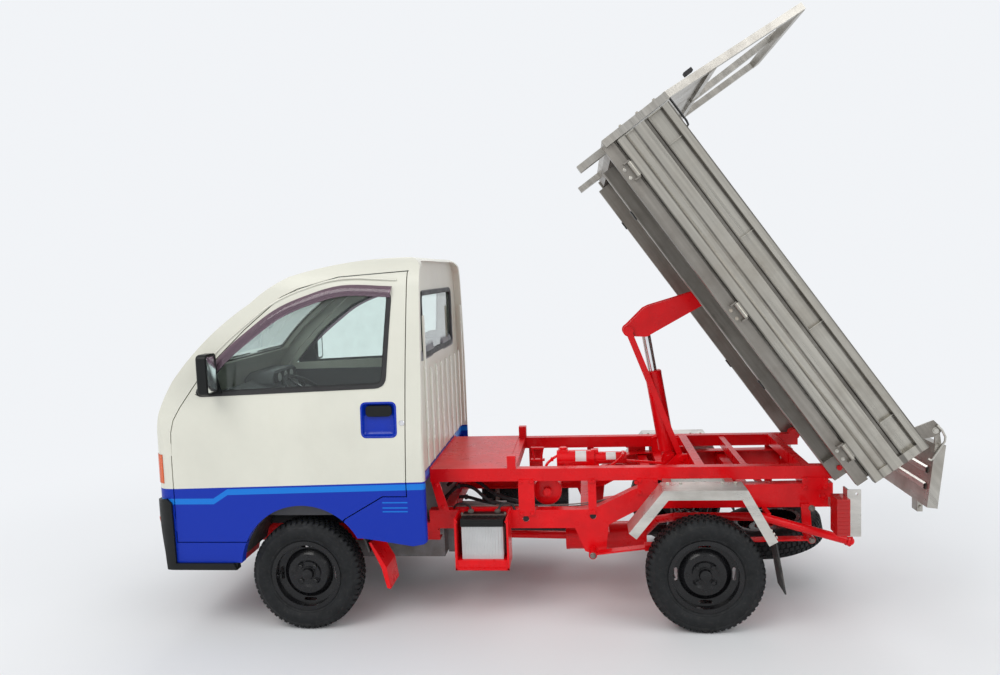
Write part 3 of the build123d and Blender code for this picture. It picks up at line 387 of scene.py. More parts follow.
def coated(name, colour, rough=0.3, spread=0.12, coat=0.0, scale=6, depth=0.15, grain=180, dirt=None,
           dirt_share=0.5, spec=0.5):
    """Painted or moulded surface: slow colour change, uneven gloss, a fine skin and optional dirt."""
    f = Finish(name, {"Coat Weight": coat, "Coat Roughness": 0.06, "Specular IOR Level": spec})
    tone = f.vary(f.range(f.noise(scale, 5), 0.35, 0.65), colour, 1 - spread, 1 + spread)
    if dirt:
        spots = f.range(f.noise(scale * 4, 8, 0.7), dirt_share, dirt_share + 0.2)
        tone = f.mix(f.math("MULTIPLY", spots, 0.7), tone, dirt)
    f.set("Base Color", tone)
    f.set("Roughness", f.range(f.noise(scale * 2.3, 6, 0.6), 0.3, 0.7, rough * 0.75, rough * 1.3))
    f.bump(f.noise(grain, 3), depth)
    return f


def metal(name, colour, rough, streak, stain, amount, depth=0.3, share=0.85, turn=0.0):
    """Bare steel: streaks, dull stains and small scratches; turn lays the streaks along the raised bed."""
    f = Finish(name, {"Metallic": share})
    if turn:
        f.coord = f.mapped("Rotation", (0, turn, 0))
    lines = f.noise(7, 6, 0.6, streak)
    patch = f.range(f.noise(5, 6, 0.62), 0.45, 0.72)
    tone = f.vary(f.range(lines, 0.3, 0.7), colour, 0.82, 1.14)
    f.set("Base Color", f.mix(f.math("MULTIPLY", patch, amount), tone, stain))
    gloss = f.range(lines, 0.3, 0.7, rough * 0.7, rough * 1.1)
    f.set("Roughness", f.math("ADD", gloss, f.range(patch, 0, 1, 0, 0.18)))
    skin = f.bump(f.noise(60, 6, 0.6, streak), depth)
    f.bump(f.noise(4, 2), depth * 5, skin)
    return f


CREAM = (0.69, 0.685, 0.60)
BLUE = (0.0005, 0.026, 0.38)
PALE_BLUE = (0.004, 0.18, 0.66)
RED = (0.74, 0.002, 0.006)


# Stretches of a steel's streaks, and the dull stain on the gates
EVEN = (1, 1, 1)
ALONG_GATE = (0.22, 1, 9)
GATE_STAIN = (0.26, 0.23, 0.19)


def two_tone():
    """Cab paint: cream above, blue below with a paler stripe that steps up over the wheel."""
    f = Finish("cab_paint", {"Coat Weight": 0.1, "Coat Roughness": 0.12, "Specular IOR Level": 0.22})
    x = f.math("MULTIPLY", f.math("SUBTRACT", f.part("X"), axle_x), 1000.0)
    z = f.math("MULTIPLY", f.part("Z"), 1000.0)
    edge = f.range(x, 604, -612, 709, 732)
    blue = f.range(f.math("SUBTRACT", edge, z), -0.8, 0.8)
    middle = f.math("ADD", f.range(x, 424, 352, 646.5, 691), f.range(x, 352, -583, 0, 18))
    lower = f.mix(f.bands(z, [(middle, 13.4)], 1.2), BLUE, PALE_BLUE)
    pins = f.bands(z, [(635, 2.2), (610, 2.2), (592, 2.2)], 1.0)
    near = f.math("MULTIPLY", f.range(x, -400, -404), f.range(x, -524, -520))
    lower = f.mix(f.math("MULTIPLY", pins, near), lower, PALE_BLUE)
    cream = f.vary(f.range(f.noise(3, 5), 0.35, 0.65), CREAM, 0.96, 1.03)
    grime = f.math("MULTIPLY", f.range(f.noise(9, 8, 0.7, (1, 1, 0.3)), 0.52, 0.8), 0.07)
    cream = f.mix(grime, cream, (0.45, 0.40, 0.30))
    f.set("Base Color", f.mix(blue, cream, lower))
    f.set("Roughness", f.range(f.noise(12, 5), 0.3, 0.7, 0.30, 0.42))
    f.bump(f.noise(240, 2), 0.04)
    return f


def ribbed_gate_steel():
    """Gate steel with dark bands along the pressed ribs: painted shade in the folds, with some dirt."""
    f = metal("ribbed_gate_steel", (0.46, 0.44, 0.39), 0.34, ALONG_GATE, GATE_STAIN, 0.45, turn=tip)
    height = f.math("MULTIPLY", f.math("SUBTRACT", f.part("Z"), hinge.dot(bed_above)), 1000.0)
    # Dark bands at the ribs' heights: painted shade in the folds, mixed with dirt.
    fold_shade_and_dirt = f.bands(height, [(101, 2), (149, 2), (215.5, 10), (293, 4), (331, 1.5), (60, 2)], 3.5)
    spread = f.range(f.noise(6, 5, 0.6, (1, 1, 1)), 0.3, 0.7, 0.45, 0.85)
    plain = f.shader.inputs["Base Color"].links[0].from_socket
    f.set("Base Color", f.mix(f.math("MULTIPLY", fold_shade_and_dirt, spread), plain, (0.07, 0.062, 0.055)))
    return f


def clear(name, colour, rough=0.0, through=1.0, flutes=0.0):
    """Glass or lens with a thin uneven film, and optional moulded flutes."""
    f = Finish(name, {"Transmission Weight": through, "IOR": 1.46})
    film = f.range(f.noise(9, 6, 0.7), 0.3, 0.7)
    f.set("Base Color", f.vary(film, colour, 0.94, 1.0))
    f.set("Roughness", f.range(film, 0, 1, rough, rough + 0.02))
    if flutes:
        f.bump(f.wave(flutes, "Y"), 1.2)
    return f


def cloth(name, colour):
    f = Finish(name, {"Sheen Weight": 0.35})
    weave = f.math("MULTIPLY", f.wave(420, "Y", 0.4), f.wave(420, "X", 0.4))
    tone = f.vary(f.range(f.noise(5, 5), 0.3, 0.7), colour, 0.86, 1.12)
    f.set("Base Color", f.mix(f.math("MULTIPLY", weave, 0.5), tone, shade(colour, 0.6)))
    f.set("Roughness", f.range(weave, 0, 1, 0.82, 0.95))
    f.bump(weave, 0.5)
    return f


cab_paint = two_tone()
red_paint = coated("red_paint", RED, 0.3, 0.10, 0.12, 7, 0.5, 90, (0.34, 0.004, 0.005), 0.62, 0.22)
bed_steel = metal("bed_steel", (0.30, 0.28, 0.25), 0.42, (0.25, 1, 7), (0.15, 0.13, 0.11), 0.5, turn=tip)
gate_steel = metal("gate_steel", (0.46, 0.44, 0.40), 0.34, ALONG_GATE, GATE_STAIN, 0.45, turn=tip)
ribbed_steel = ribbed_gate_steel()
fender_steel = metal("fender_steel", (0.60, 0.58, 0.54), 0.34, (1, 1, 4), (0.34, 0.31, 0.27), 0.4)
pale_plastic = coated("pale_plastic", (0.52, 0.53, 0.53), 0.45, 0.06, 0, 8, 0.15, 300)
dull_steel = metal("dull_steel", (0.28, 0.25, 0.23), 0.55, EVEN, (0.16, 0.10, 0.07), 0.6, 0.5)
bolt_zinc = metal("bolt_zinc", (0.55, 0.53, 0.48), 0.4, EVEN, (0.35, 0.25, 0.16), 0.5, 0.2)
chrome = metal("chrome", (0.78, 0.78, 0.80), 0.09, EVEN, (0.6, 0.6, 0.6), 0.1, 0.02, 1.0)
mirror_glass = metal("mirror_glass", (0.85, 0.87, 0.88), 0.03, EVEN, (0.8, 0.8, 0.8), 0.05, 0.01, 1.0)
cast_metal = metal("cast_metal", (0.25, 0.25, 0.25), 0.6, EVEN, (0.10, 0.08, 0.06), 0.7, 1.2, 0.7)
black_paint = coated("black_paint", (0.006, 0.006, 0.007), 0.26, 0.3, 0.1, 9, 0.2, 120,
                     (0.03, 0.027, 0.023), 0.6, 0.35)
black_plastic = coated("black_plastic", (0.008, 0.009, 0.009), 0.42, 0.1, 0, 8, 0.12, 420,
                       (0.014, 0.0135, 0.013), 0.66, 0.25)
grey_plastic = coated("grey_plastic", (0.16, 0.165, 0.17), 0.55, 0.08, 0, 8, 0.2, 520)
seal_rubber = coated("seal_rubber", (0.016, 0.016, 0.017), 0.55, 0.2, 0, 10, 0.1, 300)
flap_rubber = coated("flap_rubber", (0.03, 0.03, 0.03), 0.7, 0.25, 0, 6, 0.5, 60, (0.14, 0.12, 0.10), 0.5)
tyre_rubber = coated("tyre_rubber", (0.012, 0.013, 0.014), 0.62, 0.25, 0, 14, 0.35, 160,
                     (0.045, 0.042, 0.037), 0.55, 0.25)
floor_paint = coated("floor_paint", (0.045, 0.043, 0.042), 0.6, 0.25, 0, 8, 0.4, 100, (0.13, 0.11, 0.09))
label_white = coated("label_white", (0.72, 0.72, 0.70), 0.4, 0.05, 0, 12, 0.05, 200)
cream_paint = coated("cream_paint", CREAM, 0.25, 0.03, 0.2, 4, 0.05, 200, spec=0.25)
blue_paint = coated("blue_paint", BLUE, 0.25, 0.08, 0.2, 5, 0.05, 200, spec=0.25)
seat_vinyl = coated("seat_vinyl", (0.05, 0.05, 0.055), 0.45, 0.1, 0, 8, 0.25, 260)
seat_cloth = cloth("seat_cloth", (0.17, 0.18, 0.20))
window_glass = clear("window_glass", (0.88, 0.97, 0.94))
visor_tint = clear("visor_tint", (0.38, 0.26, 0.33), 0.05, 0.75)
lamp_glass = clear("lamp_glass", (0.93, 0.95, 0.95), 0.03, 0.95, 12)
orange_lens = clear("orange_lens", (0.93, 0.14, 0.008), 0.08, 0.35, 22)
red_lens = clear("red_lens", (0.62, 0.012, 0.012), 0.10, 0.35)

for finish, names in {
    cab_paint: "cab_front windscreen_frame cab_roof cab_back door_left door_right",
    floor_paint: "cab_floor",
    window_glass: "cab_glass door_glass_left door_glass_right",
    lamp_glass: "headlamps",
    orange_lens: "turn_lamps",
    red_lens: "tail_lamps",
    black_plastic: "bumper mirror_left mirror_right steering_wheel seat_cushions seat_backs",
    grey_plastic: "dashboard",
    pale_plastic: "battery",
    cast_metal: "engine_block",
    black_paint: "fuel_tank front_axle rear_axle knuckle_left knuckle_right rim_" + " rim_".join(WHEELS),
    tyre_rubber: "spare_wheel tyre_" + " tyre_".join(WHEELS),
    flap_rubber: "mud_flaps",
    fender_steel: "rear_fenders tail_brackets",
    red_paint: "battery_tray exhaust splash_guards frame_rails frame_cross_members subframe_rails "
               "subframe_deck power_unit leaf_springs lift_arm tension_link lift_cylinder",
    bed_steel: "bed_floor bed_sills",
    gate_steel: "headboard tailgate",
    ribbed_steel: "side_gate_left side_gate_right",
    chrome: "lift_rod",
}.items():
    for name in names.split():
        nodes[name].data.materials.clear()
        nodes[name].data.materials.append(finish.mat)


# Cab surfaces, found on the CAD mesh so that trim lies on them

def tree_of(*names):
    points, faces = [], []
    for name in names:
        mesh = nodes[name].data
        start = len(points)
        points += [v.co.copy() for v in mesh.vertices]
        faces += [[start + i for i in face.vertices] for face in mesh.polygons]
    return BVHTree.FromPolygons(points, faces)


front_tree = tree_of("windscreen_frame", "cab_glass", "cab_front", "headlamps")
door_trees = {1: tree_of("door_left"), -1: tree_of("door_right")}


def cab_side_y(z):
    """Half width of the cab in millimetres at a height, on its side's large arc."""
    waist, half, top, top_z = 760, 697, 618, 1640
    if z <= waist:
        return half
    across, height = half - top, top_z - waist
    radius = (across * across + height * height) / (2 * across)
    return half - (radius - sqrt(radius * radius - (z - waist) ** 2))


def on_side(point, lift, side=1):
    """Place on the cab's side for an (x, z) point, lifted off the surface."""
    return at(point[0], side * (cab_side_y(point[1]) + lift), point[1])


def cab_front_x(y, z):
    """Where the cab's front surface is, in millimetres, found by a ray from ahead."""
    hit = front_tree.ray_cast(at(1200, y, z), -AHEAD)[0]
    return 700.0 if hit is None else (hit.x - axle_x) / MM


def on_front(point, lift):
    return at(cab_front_x(point.x, point.y) + lift, point.x, point.y)


def door_inner_y(x, z, side):
    """Half width of the door's inner skin in millimetres, found by a ray from the cab's middle."""
    hit = door_trees[side].ray_cast(at(x, side * 250, z), OUT * side)[0]
    return 640 if hit is None else abs(hit.y) / MM


def on_screen(point, lift):
    """Place on the windscreen, carried on past its edge along the glass's slope."""
    glass_set_in, slope, margin = 12, -0.78, 14
    inner = Vector((max(-585, min(585, point.x)), max(1275, min(1560, point.y))))
    taper = (SCREEN_FOOT[0] - SCREEN_TOP[0]) / (SCREEN_TOP[1] - SCREEN_FOOT[1])
    half_width = SCREEN_FOOT[0] - (inner.y - SCREEN_FOOT[1]) * taper - margin
    inner.x = max(-half_width, min(half_width, inner.x))
    x = cab_front_x(inner.x, inner.y) + glass_set_in + lift * 0.75
    x += (point.y - inner.y) * slope - abs(point.x - inner.x) * 0.25
    return at(x, point.x, point.y + lift * 0.6)


window_outline = [(489, 1160), (-430, 1184), (-467, 1620), (-240, 1632), (-52, 1585), (86, 1526),
                  (216, 1434), (316, 1354)]
window_path = densify(round_corners(window_outline, 42), 60)
seal_section = [(-15, -11.5), (-15, -7), (-7, 2.5), (9, 4.5), (11, 2.5), (11, 0.4), (-1, 0.4), (-1, -11.5)]
for side, tag in SIDES:
    with Piece("window_seal_" + tag, seal_rubber, "door_" + tag) as seal:
        seal.band(window_path, seal_section, lambda p, lift: on_side(p, lift, side))

(foot, low_z), (top, top_z) = SCREEN_FOOT, SCREEN_TOP
screen_path = densify(round_corners([(-foot, low_z), (foot, low_z), (top, top_z), (-top, top_z)], 60), 60)
with Piece("windscreen_seal", seal_rubber) as seal:
    section = [(-16, -10), (-14, 0), (-4, 3.5), (10, 3.5), (13, 0.5), (8, -4), (-4, -10)]
    seal.band(screen_path, section, on_screen)

rear_path = densify(box_outline(-420, 420, 1290, 1600, 45), 80)
with Piece("rear_window_seal", seal_rubber) as seal:
    section = [(-14, -5), (-12, 3), (-4, 8), (10, 8), (14, 4), (14, 0.3), (-1, 0.3), (-1, -5)]
    seal.band(rear_path, section, facing_back(CAB_BACK_X + 38))


# Wheels

def wheel_point(y, radius, turn):
    return Vector((radius * sin(turn), y, radius * cos(turn))) * MM


def tread_mesh():
    """Tyre about the Y axis: carcass with rim protector and shoulder ring, and five rows of tread blocks."""
    tyre = Shape()
    carcass = [(-52, 158.4), (-53, 166), (-55, 173), (-60, 177), (-62, 181), (-61.5, 184), (-66, 190),
               (-71, 204), (-72.3, 216), (-71.4, 226), (-70.6, 227), (-69.6, 233), (-68.8, 233.5), (-63, 245),
               (-58.5, 250), (-54, 256), (-40, 260.5)]
    profile = carcass + [(-y, r) for y, r in carcass[::-1]]
    pitches = 58
    tyre.rings([[wheel_point(y, r, turn) for y, r in profile] for turn in around(96)], closed=True)
    shoulder = [(37, 257), (37, 267.2), (45, 266.6), (53, 262.6), (58.5, 256), (60.4, 249.6), (64.5, 241),
                (62, 239), (52, 254)]
    rows = [
        ([(-11, 259.5), (-11, 267.4), (0, 267.9), (11, 267.4), (11, 259.5)], 0.0, 0.62, (1,)),
        ([(14.5, 259.5), (14.5, 267.6), (24, 267.8), (33, 267.2), (33, 258)], 0.5, 0.68, BOTH),
        (shoulder, 0.15, 0.6, BOTH),
    ]
    for profile, shift, share, mirrors in rows:
        for mirror in mirrors:
            for k in range(pitches):
                start = (k + shift * mirror) / pitches
                turns = [2 * pi * (start + share * i / (2 * pitches)) for i in range(3)]
                tyre.rings([[wheel_point(mirror * y, r, turn + 0.0004 * mirror * y) for y, r in profile]
                            for turn in turns])
    return tyre.mesh("tyre_detail", tyre_rubber, 32)


def hub_mesh():
    """Hub cap, four wheel nuts, four pads on the disc and the valve, on a wheel's outer side."""
    hub = Shape()
    cap = [(0, 33), (3, 33), (4, 30), (16, 29), (22, 26), (25, 20), (26.5, 0.1)]
    hub.turned(Vector((0, 0.0225, 0)), OUT, cap, 32)
    for turn in around(4):
        hub.bolt(wheel_point(22.2, 50, turn + pi / 4), OUT, 19, 15)
        hub.turned(wheel_point(27.8, 82.5, turn), OUT, [(0, 9), (1.5, 8.5), (2.2, 6)], 14)
    hub.turned(Vector((0.142, 0.030, 0.0)), OUT, [(-8, 3), (14, 3), (16, 4.2), (26, 4.2), (27, 3)], 10)
    return hub.mesh("wheel_hub_detail", black_paint, 32)


def placed(name, mesh, matrix, body):
    piece = linked(name, mesh)
    piece.matrix_world = matrix
    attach(piece, body)
    return piece


def tyre_centre(place):
    low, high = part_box("tyre_" + place)
    return (low + high) / 2


tyre_mesh, hub_set = tread_mesh(), hub_mesh()
for place in WHEELS:
    body = "wheel_" + place
    pose = Matrix.Translation(tyre_centre(place)) @ Matrix.Rotation(0 if "left" in place else pi, 4, "Z")
    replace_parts(placed("tread_tyre_" + place, tyre_mesh, pose, body), "tyre_" + place)
    placed("hub_set_" + place, hub_set, pose, body)

rim_copy = nodes["rim_front_left"].data.copy()
rim_copy.transform(Matrix.Translation(-tyre_centre("front_left")))
spare_pose = Matrix.Translation(at(REAR_AXLE_X - 425, 0, 270)) @ Matrix.Rotation(radians(10), 4, "Y")
spare_pose = spare_pose @ Matrix.Rotation(radians(90), 4, "X")
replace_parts(placed("spare_tread_tyre", tyre_mesh, spare_pose, "chassis"), "spare_wheel")
placed("spare_rim", rim_copy, spare_pose, "chassis")


# Doors

visor_top = [(-478, 1640), (-238, 1652), (-45, 1604), (96, 1544), (228, 1450), (328, 1370), (440, 1258)]
visor_low = [(-470, 1592), (-244, 1604), (-64, 1560), (72, 1502), (200, 1412), (300, 1334), (412, 1232)]
visor_edges = list(zip(refine(visor_top), refine(visor_low)))
visor_section = ((-0.06, 1.5), (0, 3), (0.1, 9), (0.45, 15), (0.9, 14), (1.0, 12), (0.97, 9.5), (0.45, 12.4),
                 (0.1, 6.5), (0, 0.5))
drip_rail = [(-500, 1672), (-240, 1686), (-40, 1640), (104, 1578), (240, 1478), (344, 1392), (470, 1270)]
recess = box_outline(-482, -322, 947, 1104, 23, 8)
recess_centre = Vector((-402, 1018))
recess_steps = ((-2.5, 0.6), (-1, 1.6), (1.5, 0.4), (4, -4), (9, -12), (18, -18.5), (40, -20.5), (66, -21))
card_path = densify(box_outline(-520, 560, 560, 1120, 60, 8), 90)
card_centre = Vector((20, 850))
for side, tag in SIDES:
    door = "door_" + tag

    def on_door(p, lift):
        return on_side(p, lift, side)

    with Piece("handle_dish_" + tag, blue_paint, door) as dish:
        rows = [[on_door(p + (recess_centre - p).normalized() * shrink, lift) for p in recess]
                for shrink, lift in recess_steps]
        dish.rings(rows, caps=False)
        dish.face(rows[-1])
    # The flap is black to give the painted shade of the handle's cavity behind it.
    with Piece("handle_flap_" + tag, black_plastic, door) as flap:
        flap.slab(box_outline(-464, -340, 1040, 1092, 21, 7), on_door, -16, -3, 4)
    with Piece("handle_rim_" + tag, blue_paint, door) as rim:
        rim.band(densify(recess, 40), [(-4, -3), (-3, 1), (0, 3.2), (4, 2.6), (6, 0.3), (0, -3)], on_door)
    with Piece("door_lock_" + tag, chrome, door) as lock:
        profile = [(0, 13), (2.5, 13), (4, 11.5), (4, 6), (3, 5.5), (3, 0.1)]
        lock.turned(on_door((-512, 1010), -1), OUT * side, profile)

    with Piece("visor_" + tag, visor_tint, door) as visor:
        visor.rings([[on_door(top.lerp(low, share), lift) for share, lift in visor_section]
                     for top, low in visor_edges])

    glass = box_outline(side * 711, side * 803, 1182, 1352, 12)
    with Piece("mirror_face_" + tag, mirror_glass, door) as face:
        face.slab(glass, facing_back(362.5), 0, 3, 1)
    with Piece("mirror_rim_" + tag, black_plastic, door) as rim:
        rim.tube([at(361.5, p.x, p.y) for p in glass], 3.2, 8, closed=True)

    with Piece("door_card_" + tag, seat_vinyl, door) as card:
        panel = []
        for shrink, lift in ((0, 0.5), (0, 5), (5, 8)):
            row = [p + (card_centre - p).normalized() * shrink for p in card_path]
            panel.append([at(q.x, side * (min(door_inner_y(q.x, q.y, side), 690) - lift), q.y) for q in row])
        card.rings(panel)
    deep = door_inner_y(0, 860, side)
    with Piece("armrest_" + tag, black_plastic, door, bevel=9, segments=4) as rest:
        rest.box((-180, side * (deep - 52), 838), (170, side * (deep - 6), 872))
        rest.box((-150, side * (deep - 14), 872), (140, side * (deep - 6), 905))
    with Piece("door_winder_" + tag, black_plastic, door) as winder:
        root = at(250, side * (deep - 8), 770)
        crank = Vector((-80, 0, -20)) * MM
        inward = OUT * -side
        winder.turned(root, inward, [(0, 26), (5, 26), (8, 16), (22, 15), (24, 10)])
        winder.rod(root + inward * 0.020, root + inward * 0.034 + crank, 6)
        winder.rod(root + inward * 0.030 + crank, root + inward * 0.064 + crank, 10)
        latch = [(0, 30), (4, 30), (6, 24), (3, 20), (3, 0.1)]
        winder.turned(at(330, side * (deep - 8), 960), inward, latch)

    with Piece("drip_rail_" + tag, cream_paint) as rail:
        rail.tube([on_side(p, 1.5, side) for p in refine(drip_rail, 8)], 5, 8)

# Windscreen wipers, cowl slots and headlamps

with Piece("wipers", black_plastic) as wipers:
    for pivot_y in (-60, 455):
        start = at(cab_front_x(pivot_y, 1218) + 4, pivot_y, 1218)
        tip_y = pivot_y - 330
        wrist = at(cab_front_x(tip_y, 1285) + 16, tip_y, 1285)
        wipers.turned(start, Vector((0.75, 0, 0.6)), [(-8, 13), (6, 13), (10, 9), (14, 9), (15, 7)], 14)
        wipers.rod(start + UP * 0.006 + AHEAD * 0.008, wrist, 5, 8)
        for share in (-1, 1):
            wipers.rod(wrist, wrist + OUT * (0.11 * share) - UP * 0.002, 3.5, 8)
        blade_y = [tip_y - 205 + k * 34 for k in range(13)]
        wipers.tube([at(cab_front_x(y, 1290) + 6, y, 1284) for y in blade_y], 5, 8)

with Piece("cowl_slots", seal_rubber) as slots:
    for y in range(-440, 441, 88):
        slots.slab(box_outline(y - 30, y + 30, 1196, 1203, 3, 3), on_front, -2, 1.2)

for side, tag in SIDES:
    lamp_outline = densify(box_outline(side * 388, side * 595, 738, 872, 16, 6), 40)
    middle = Vector((side * 492, 805))
    with Piece("lamp_bowl_" + tag, chrome) as bowl:
        steps = ((0.98, -5), (0.9, -9), (0.7, -15), (0.4, -19), (0.12, -21))
        rows = [[on_front(middle.lerp(p, share), depth) for p in lamp_outline] for share, depth in steps]
        bowl.rings(rows, caps=False)
    with Piece("lamp_bulb_" + tag, lamp_glass) as bulb:
        bulb.turned(on_front(middle, -21), AHEAD, [(0, 22), (6, 20), (8, 8), (14, 7), (15, 4)], 20)
    with Piece("lamp_frame_" + tag, black_plastic) as border:
        border.band(lamp_outline, [(-3, -0.4), (-3, 2), (0, 3.5), (6, 2.5), (8, -0.4)], on_front)


# Seats: cushions and backs filled by a pressure simulation, then their seams

def apply_modifier(piece, name):
    """Puts the evaluated mesh in place of the base mesh and drops the modifier."""
    graph = bpy.context.evaluated_depsgraph_get()
    graph.update()
    mesh = bpy.data.meshes.new_from_object(piece.evaluated_get(graph))
    piece.modifiers.remove(piece.modifiers[name])
    piece.data = mesh


def swell_pad(piece):
    """Swells a pad by cloth pressure, with its travel capped."""
    longest_travel = 0.012
    remesh = piece.modifiers.new("remesh", "REMESH")
    remesh.mode = "VOXEL"
    remesh.voxel_size = 0.014
    remesh.use_smooth_shade = True
    apply_modifier(piece, "remesh")
    before = [v.co.copy() for v in piece.data.vertices]
    swell = piece.modifiers.new("swell", "CLOTH")
    swell.settings.use_pressure = True
    swell.settings.uniform_pressure_force = 4
    swell.settings.effector_weights.gravity = 0
    swell.settings.quality = 5
    for number in range(1, 21):
        bpy.context.scene.frame_set(number)
    apply_modifier(piece, "swell")
    bpy.context.scene.frame_set(1)
    for v, p in zip(piece.data.vertices, before):
        move = v.co - p
        if move.length > longest_travel:
            v.co = p + move.normalized() * longest_travel


def blown_pad(name, low, high, slant):
    """Padded block between two corners, leaned back by slant and swollen."""
    with Piece(name, seat_cloth, None) as pad:
        size = Vector(high) - Vector(low)
        bmesh.ops.create_cube(pad.bm, size=1)
        bmesh.ops.scale(pad.bm, vec=size, verts=pad.bm.verts)
        bmesh.ops.bevel(pad.bm, geom=pad.bm.edges[:], offset=26, segments=3, affect="EDGES", profile=0.5)
        middle = (Vector(low) + Vector(high)) / 2
        for v in pad.bm.verts:
            p = v.co.copy()
            lean = slant * (p.z / size.z + 0.5)
            v.co = at(middle.x + p.x + lean, middle.y + p.y, middle.z + p.z)
    piece = pad.object
    bpy.context.view_layer.update()
    swell_pad(piece)
    smoothed(piece.data)
    finer = piece.modifiers.new("finer", "SUBSURF")
    finer.levels = finer.render_levels = 1
    apply_modifier(piece, "finer")
    return piece


def add_seams(piece, pad, along, starts, cross_starts):
    """Three seams along the pad and one across, where rays from the starts meet it."""
    tree = BVHTree.FromObject(pad, bpy.context.evaluated_depsgraph_get())
    for line, radius in [(start, 1.6) for start in starts] + [(cross_starts, 2.2)]:
        hits = [tree.ray_cast(start, along)[0] for start in line]
        path = [hit for hit in hits if hit]
        if len(path) > 2:
            piece.tube(path, radius, 6)


cushions, backs = [], []
for tag, y0, y1 in (("left", 84, 531), ("right", -531, -84)):
    lanes = [y0 + (y1 - y0) * share for share in (0.25, 0.5, 0.75)]
    across = [y0 + 8 + (y1 - y0 - 16) * k / 24 for k in range(25)]
    cushion = blown_pad("seat_cushion_" + tag, (-418, y0, 716), (56, y1, 832), 0)
    back = blown_pad("seat_back_" + tag, (-516, y0, 872), (-356, y1, 1366), -50)
    with Piece("seat_seams_cushion_" + tag, seat_vinyl) as seams:
        add_seams(seams, cushion, -UP, [[at(-396 + k * 21.4, y, 1000) for k in range(21)] for y in lanes],
                  [at(0, y, 1000) for y in across])
    with Piece("seat_seams_back_" + tag, seat_vinyl) as seams:
        add_seams(seams, back, -AHEAD, [[at(-100, y, 900 + k * 22.4) for k in range(21)] for y in lanes],
                  [at(-100, y, 1280) for y in across])
    for pad, pads in ((cushion, cushions), (back, backs)):
        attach(pad, "chassis")
        pads.append(pad)
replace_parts(cushions[0], "seat_cushions")
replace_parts(backs[0], "seat_backs")

# Cab interior: instruments, vents, radio, steering column, pedals and levers

with Piece("instrument_hood", grey_plastic) as hood:
    hood_outline = [(-530, 1085), (-520, 1140), (-480, 1166), (-180, 1166), (-140, 1140), (-130, 1085)]
    hood_outline = round_corners(hood_outline, 22)
    hood.rings([[at(x, p.x, p.y + lift) for p in hood_outline]
                for x, lift in ((610, -12), (560, 0), (452, 2), (440, -2))])
with Piece("instrument_face", black_plastic) as face:
    face.slab(box_outline(-505, -155, 1092, 1150, 14), facing_back(439), 0, 3)
with Piece("instrument_dials", label_white) as dials:
    for y in (-420, -330, -235):
        dials.turned(at(436, y, 1121), -AHEAD, [(0, 26), (2, 26), (3, 24), (1, 23), (1, 0.1)], 28)
        dials.rod(at(434.5, y, 1121), at(434.5, y + 12, 1136), 1.2, 6)
with Piece("dash_vents", black_plastic) as vents:
    for y in (-590, -60, 60, 590):
        for k in range(5):
            vents.box((434, y - 42, 1000 + k * 12), (442, y + 42, 1004 + k * 12))
        border = box_outline(y - 48, y + 48, 992, 1058, 8)
        vents.tube([at(438, p.x, p.y) for p in border], 4, 8, closed=True)
with Piece("dash_radio", black_plastic, bevel=1.5) as radio:
    radio.box((422, -92, 905), (440, 92, 957))
    for y in (-70, 70):
        radio.turned(at(424, y, 931), -AHEAD, [(0, 13), (14, 12), (16, 10)], 20)
    for k in range(5):
        radio.box((418, -36 + k * 15, 912), (424, -26 + k * 15, 920))
hub = at(285, -330, 1000)
down = (at(545, -330, 660) - hub).normalized()
with Piece("column_shroud", black_plastic) as shroud:
    stalk_root = hub + down * 0.085
    for side in BOTH:
        reaches = ((0.02, 0), (0.09, 0), (0.16, 0.03))
        stalk = [stalk_root + OUT * (side * reach) - down * drop for reach, drop in reaches]
        shroud.tube(smooth_path(stalk), 6, 8)
    shroud.turned(hub + down * 0.045, down, [(0, 44), (10, 52), (90, 46), (110, 30)], 20)
with Piece("horn_pad", black_plastic, "steering_wheel") as horn:
    horn.turned(hub - down * 0.024, -down, [(-8, 58), (0, 60), (8, 54), (12, 40), (13, 0.1)], 28)
with Piece("pedals", black_plastic, bevel=2) as pedals:
    for y, wide in ((-225, 46), (-335, 54), (-440, 40)):
        pedals.rod(at(560, y, 690), at(520, y, 545), 6, 8)
        pedals.box((500, y - wide / 2, 520), (522, y + wide / 2, 576))
with Piece("gear_lever", black_plastic) as lever:
    lever.turned(at(120, -20, 700), UP, [(0, 62), (6, 60), (30, 36), (60, 18), (75, 12)])
    lever.tube(run_of([(120, -20, 760), (124, -20, 860), (150, -24, 980)]), 6)
    lever.turned(at(150, -24, 975), UP, [(0, 14), (14, 22), (34, 24), (48, 17), (52, 6)], 20)
with Piece("hand_brake", black_plastic) as brake:
    brake.box((-60, 18, 700), (60, 50, 742))
    brake.tube(run_of([(-30, 34, 735), (60, 34, 775), (170, 34, 822)]), 9)
    brake.rod(at(165, 34, 820), at(184, 34, 828), 5)

# Frame, suspension, exhaust and tank fittings

with Piece("frame_bolts", red_paint) as bolts:
    feet = ((-1095, -1015, 503), (-1400, -1360, 510), (-1700, -1600, 605), (-2500, -2380, 626))
    for side in BOTH:
        for x_from, x_to, foot_z in feet:
            for x in (x_from + 13, x_to - 13):
                for z in (foot_z - 15, 648):
                    bolts.bolt(at(x, side * (RAIL_Y + 6), z), OUT * side, 15, 10)
        for x, z in ((-600, 632), (-632, 520)):
            bolts.bolt(at(x, side * RAIL_Y, z), OUT * side, 17, 11)
        for x in (-2025, -1595):
            bolts.bolt(at(x, side * 399, 640), OUT * side, 14, 9)

with Piece("hole_plugs", seal_rubber) as plugs:
    for side in BOTH:
        for x, z in ((-1048, 457), (-1381, 470)):
            plugs.turned(at(x, side * (RAIL_Y - 9), z), OUT * side, [(0, 15.5), (3, 15.5)])

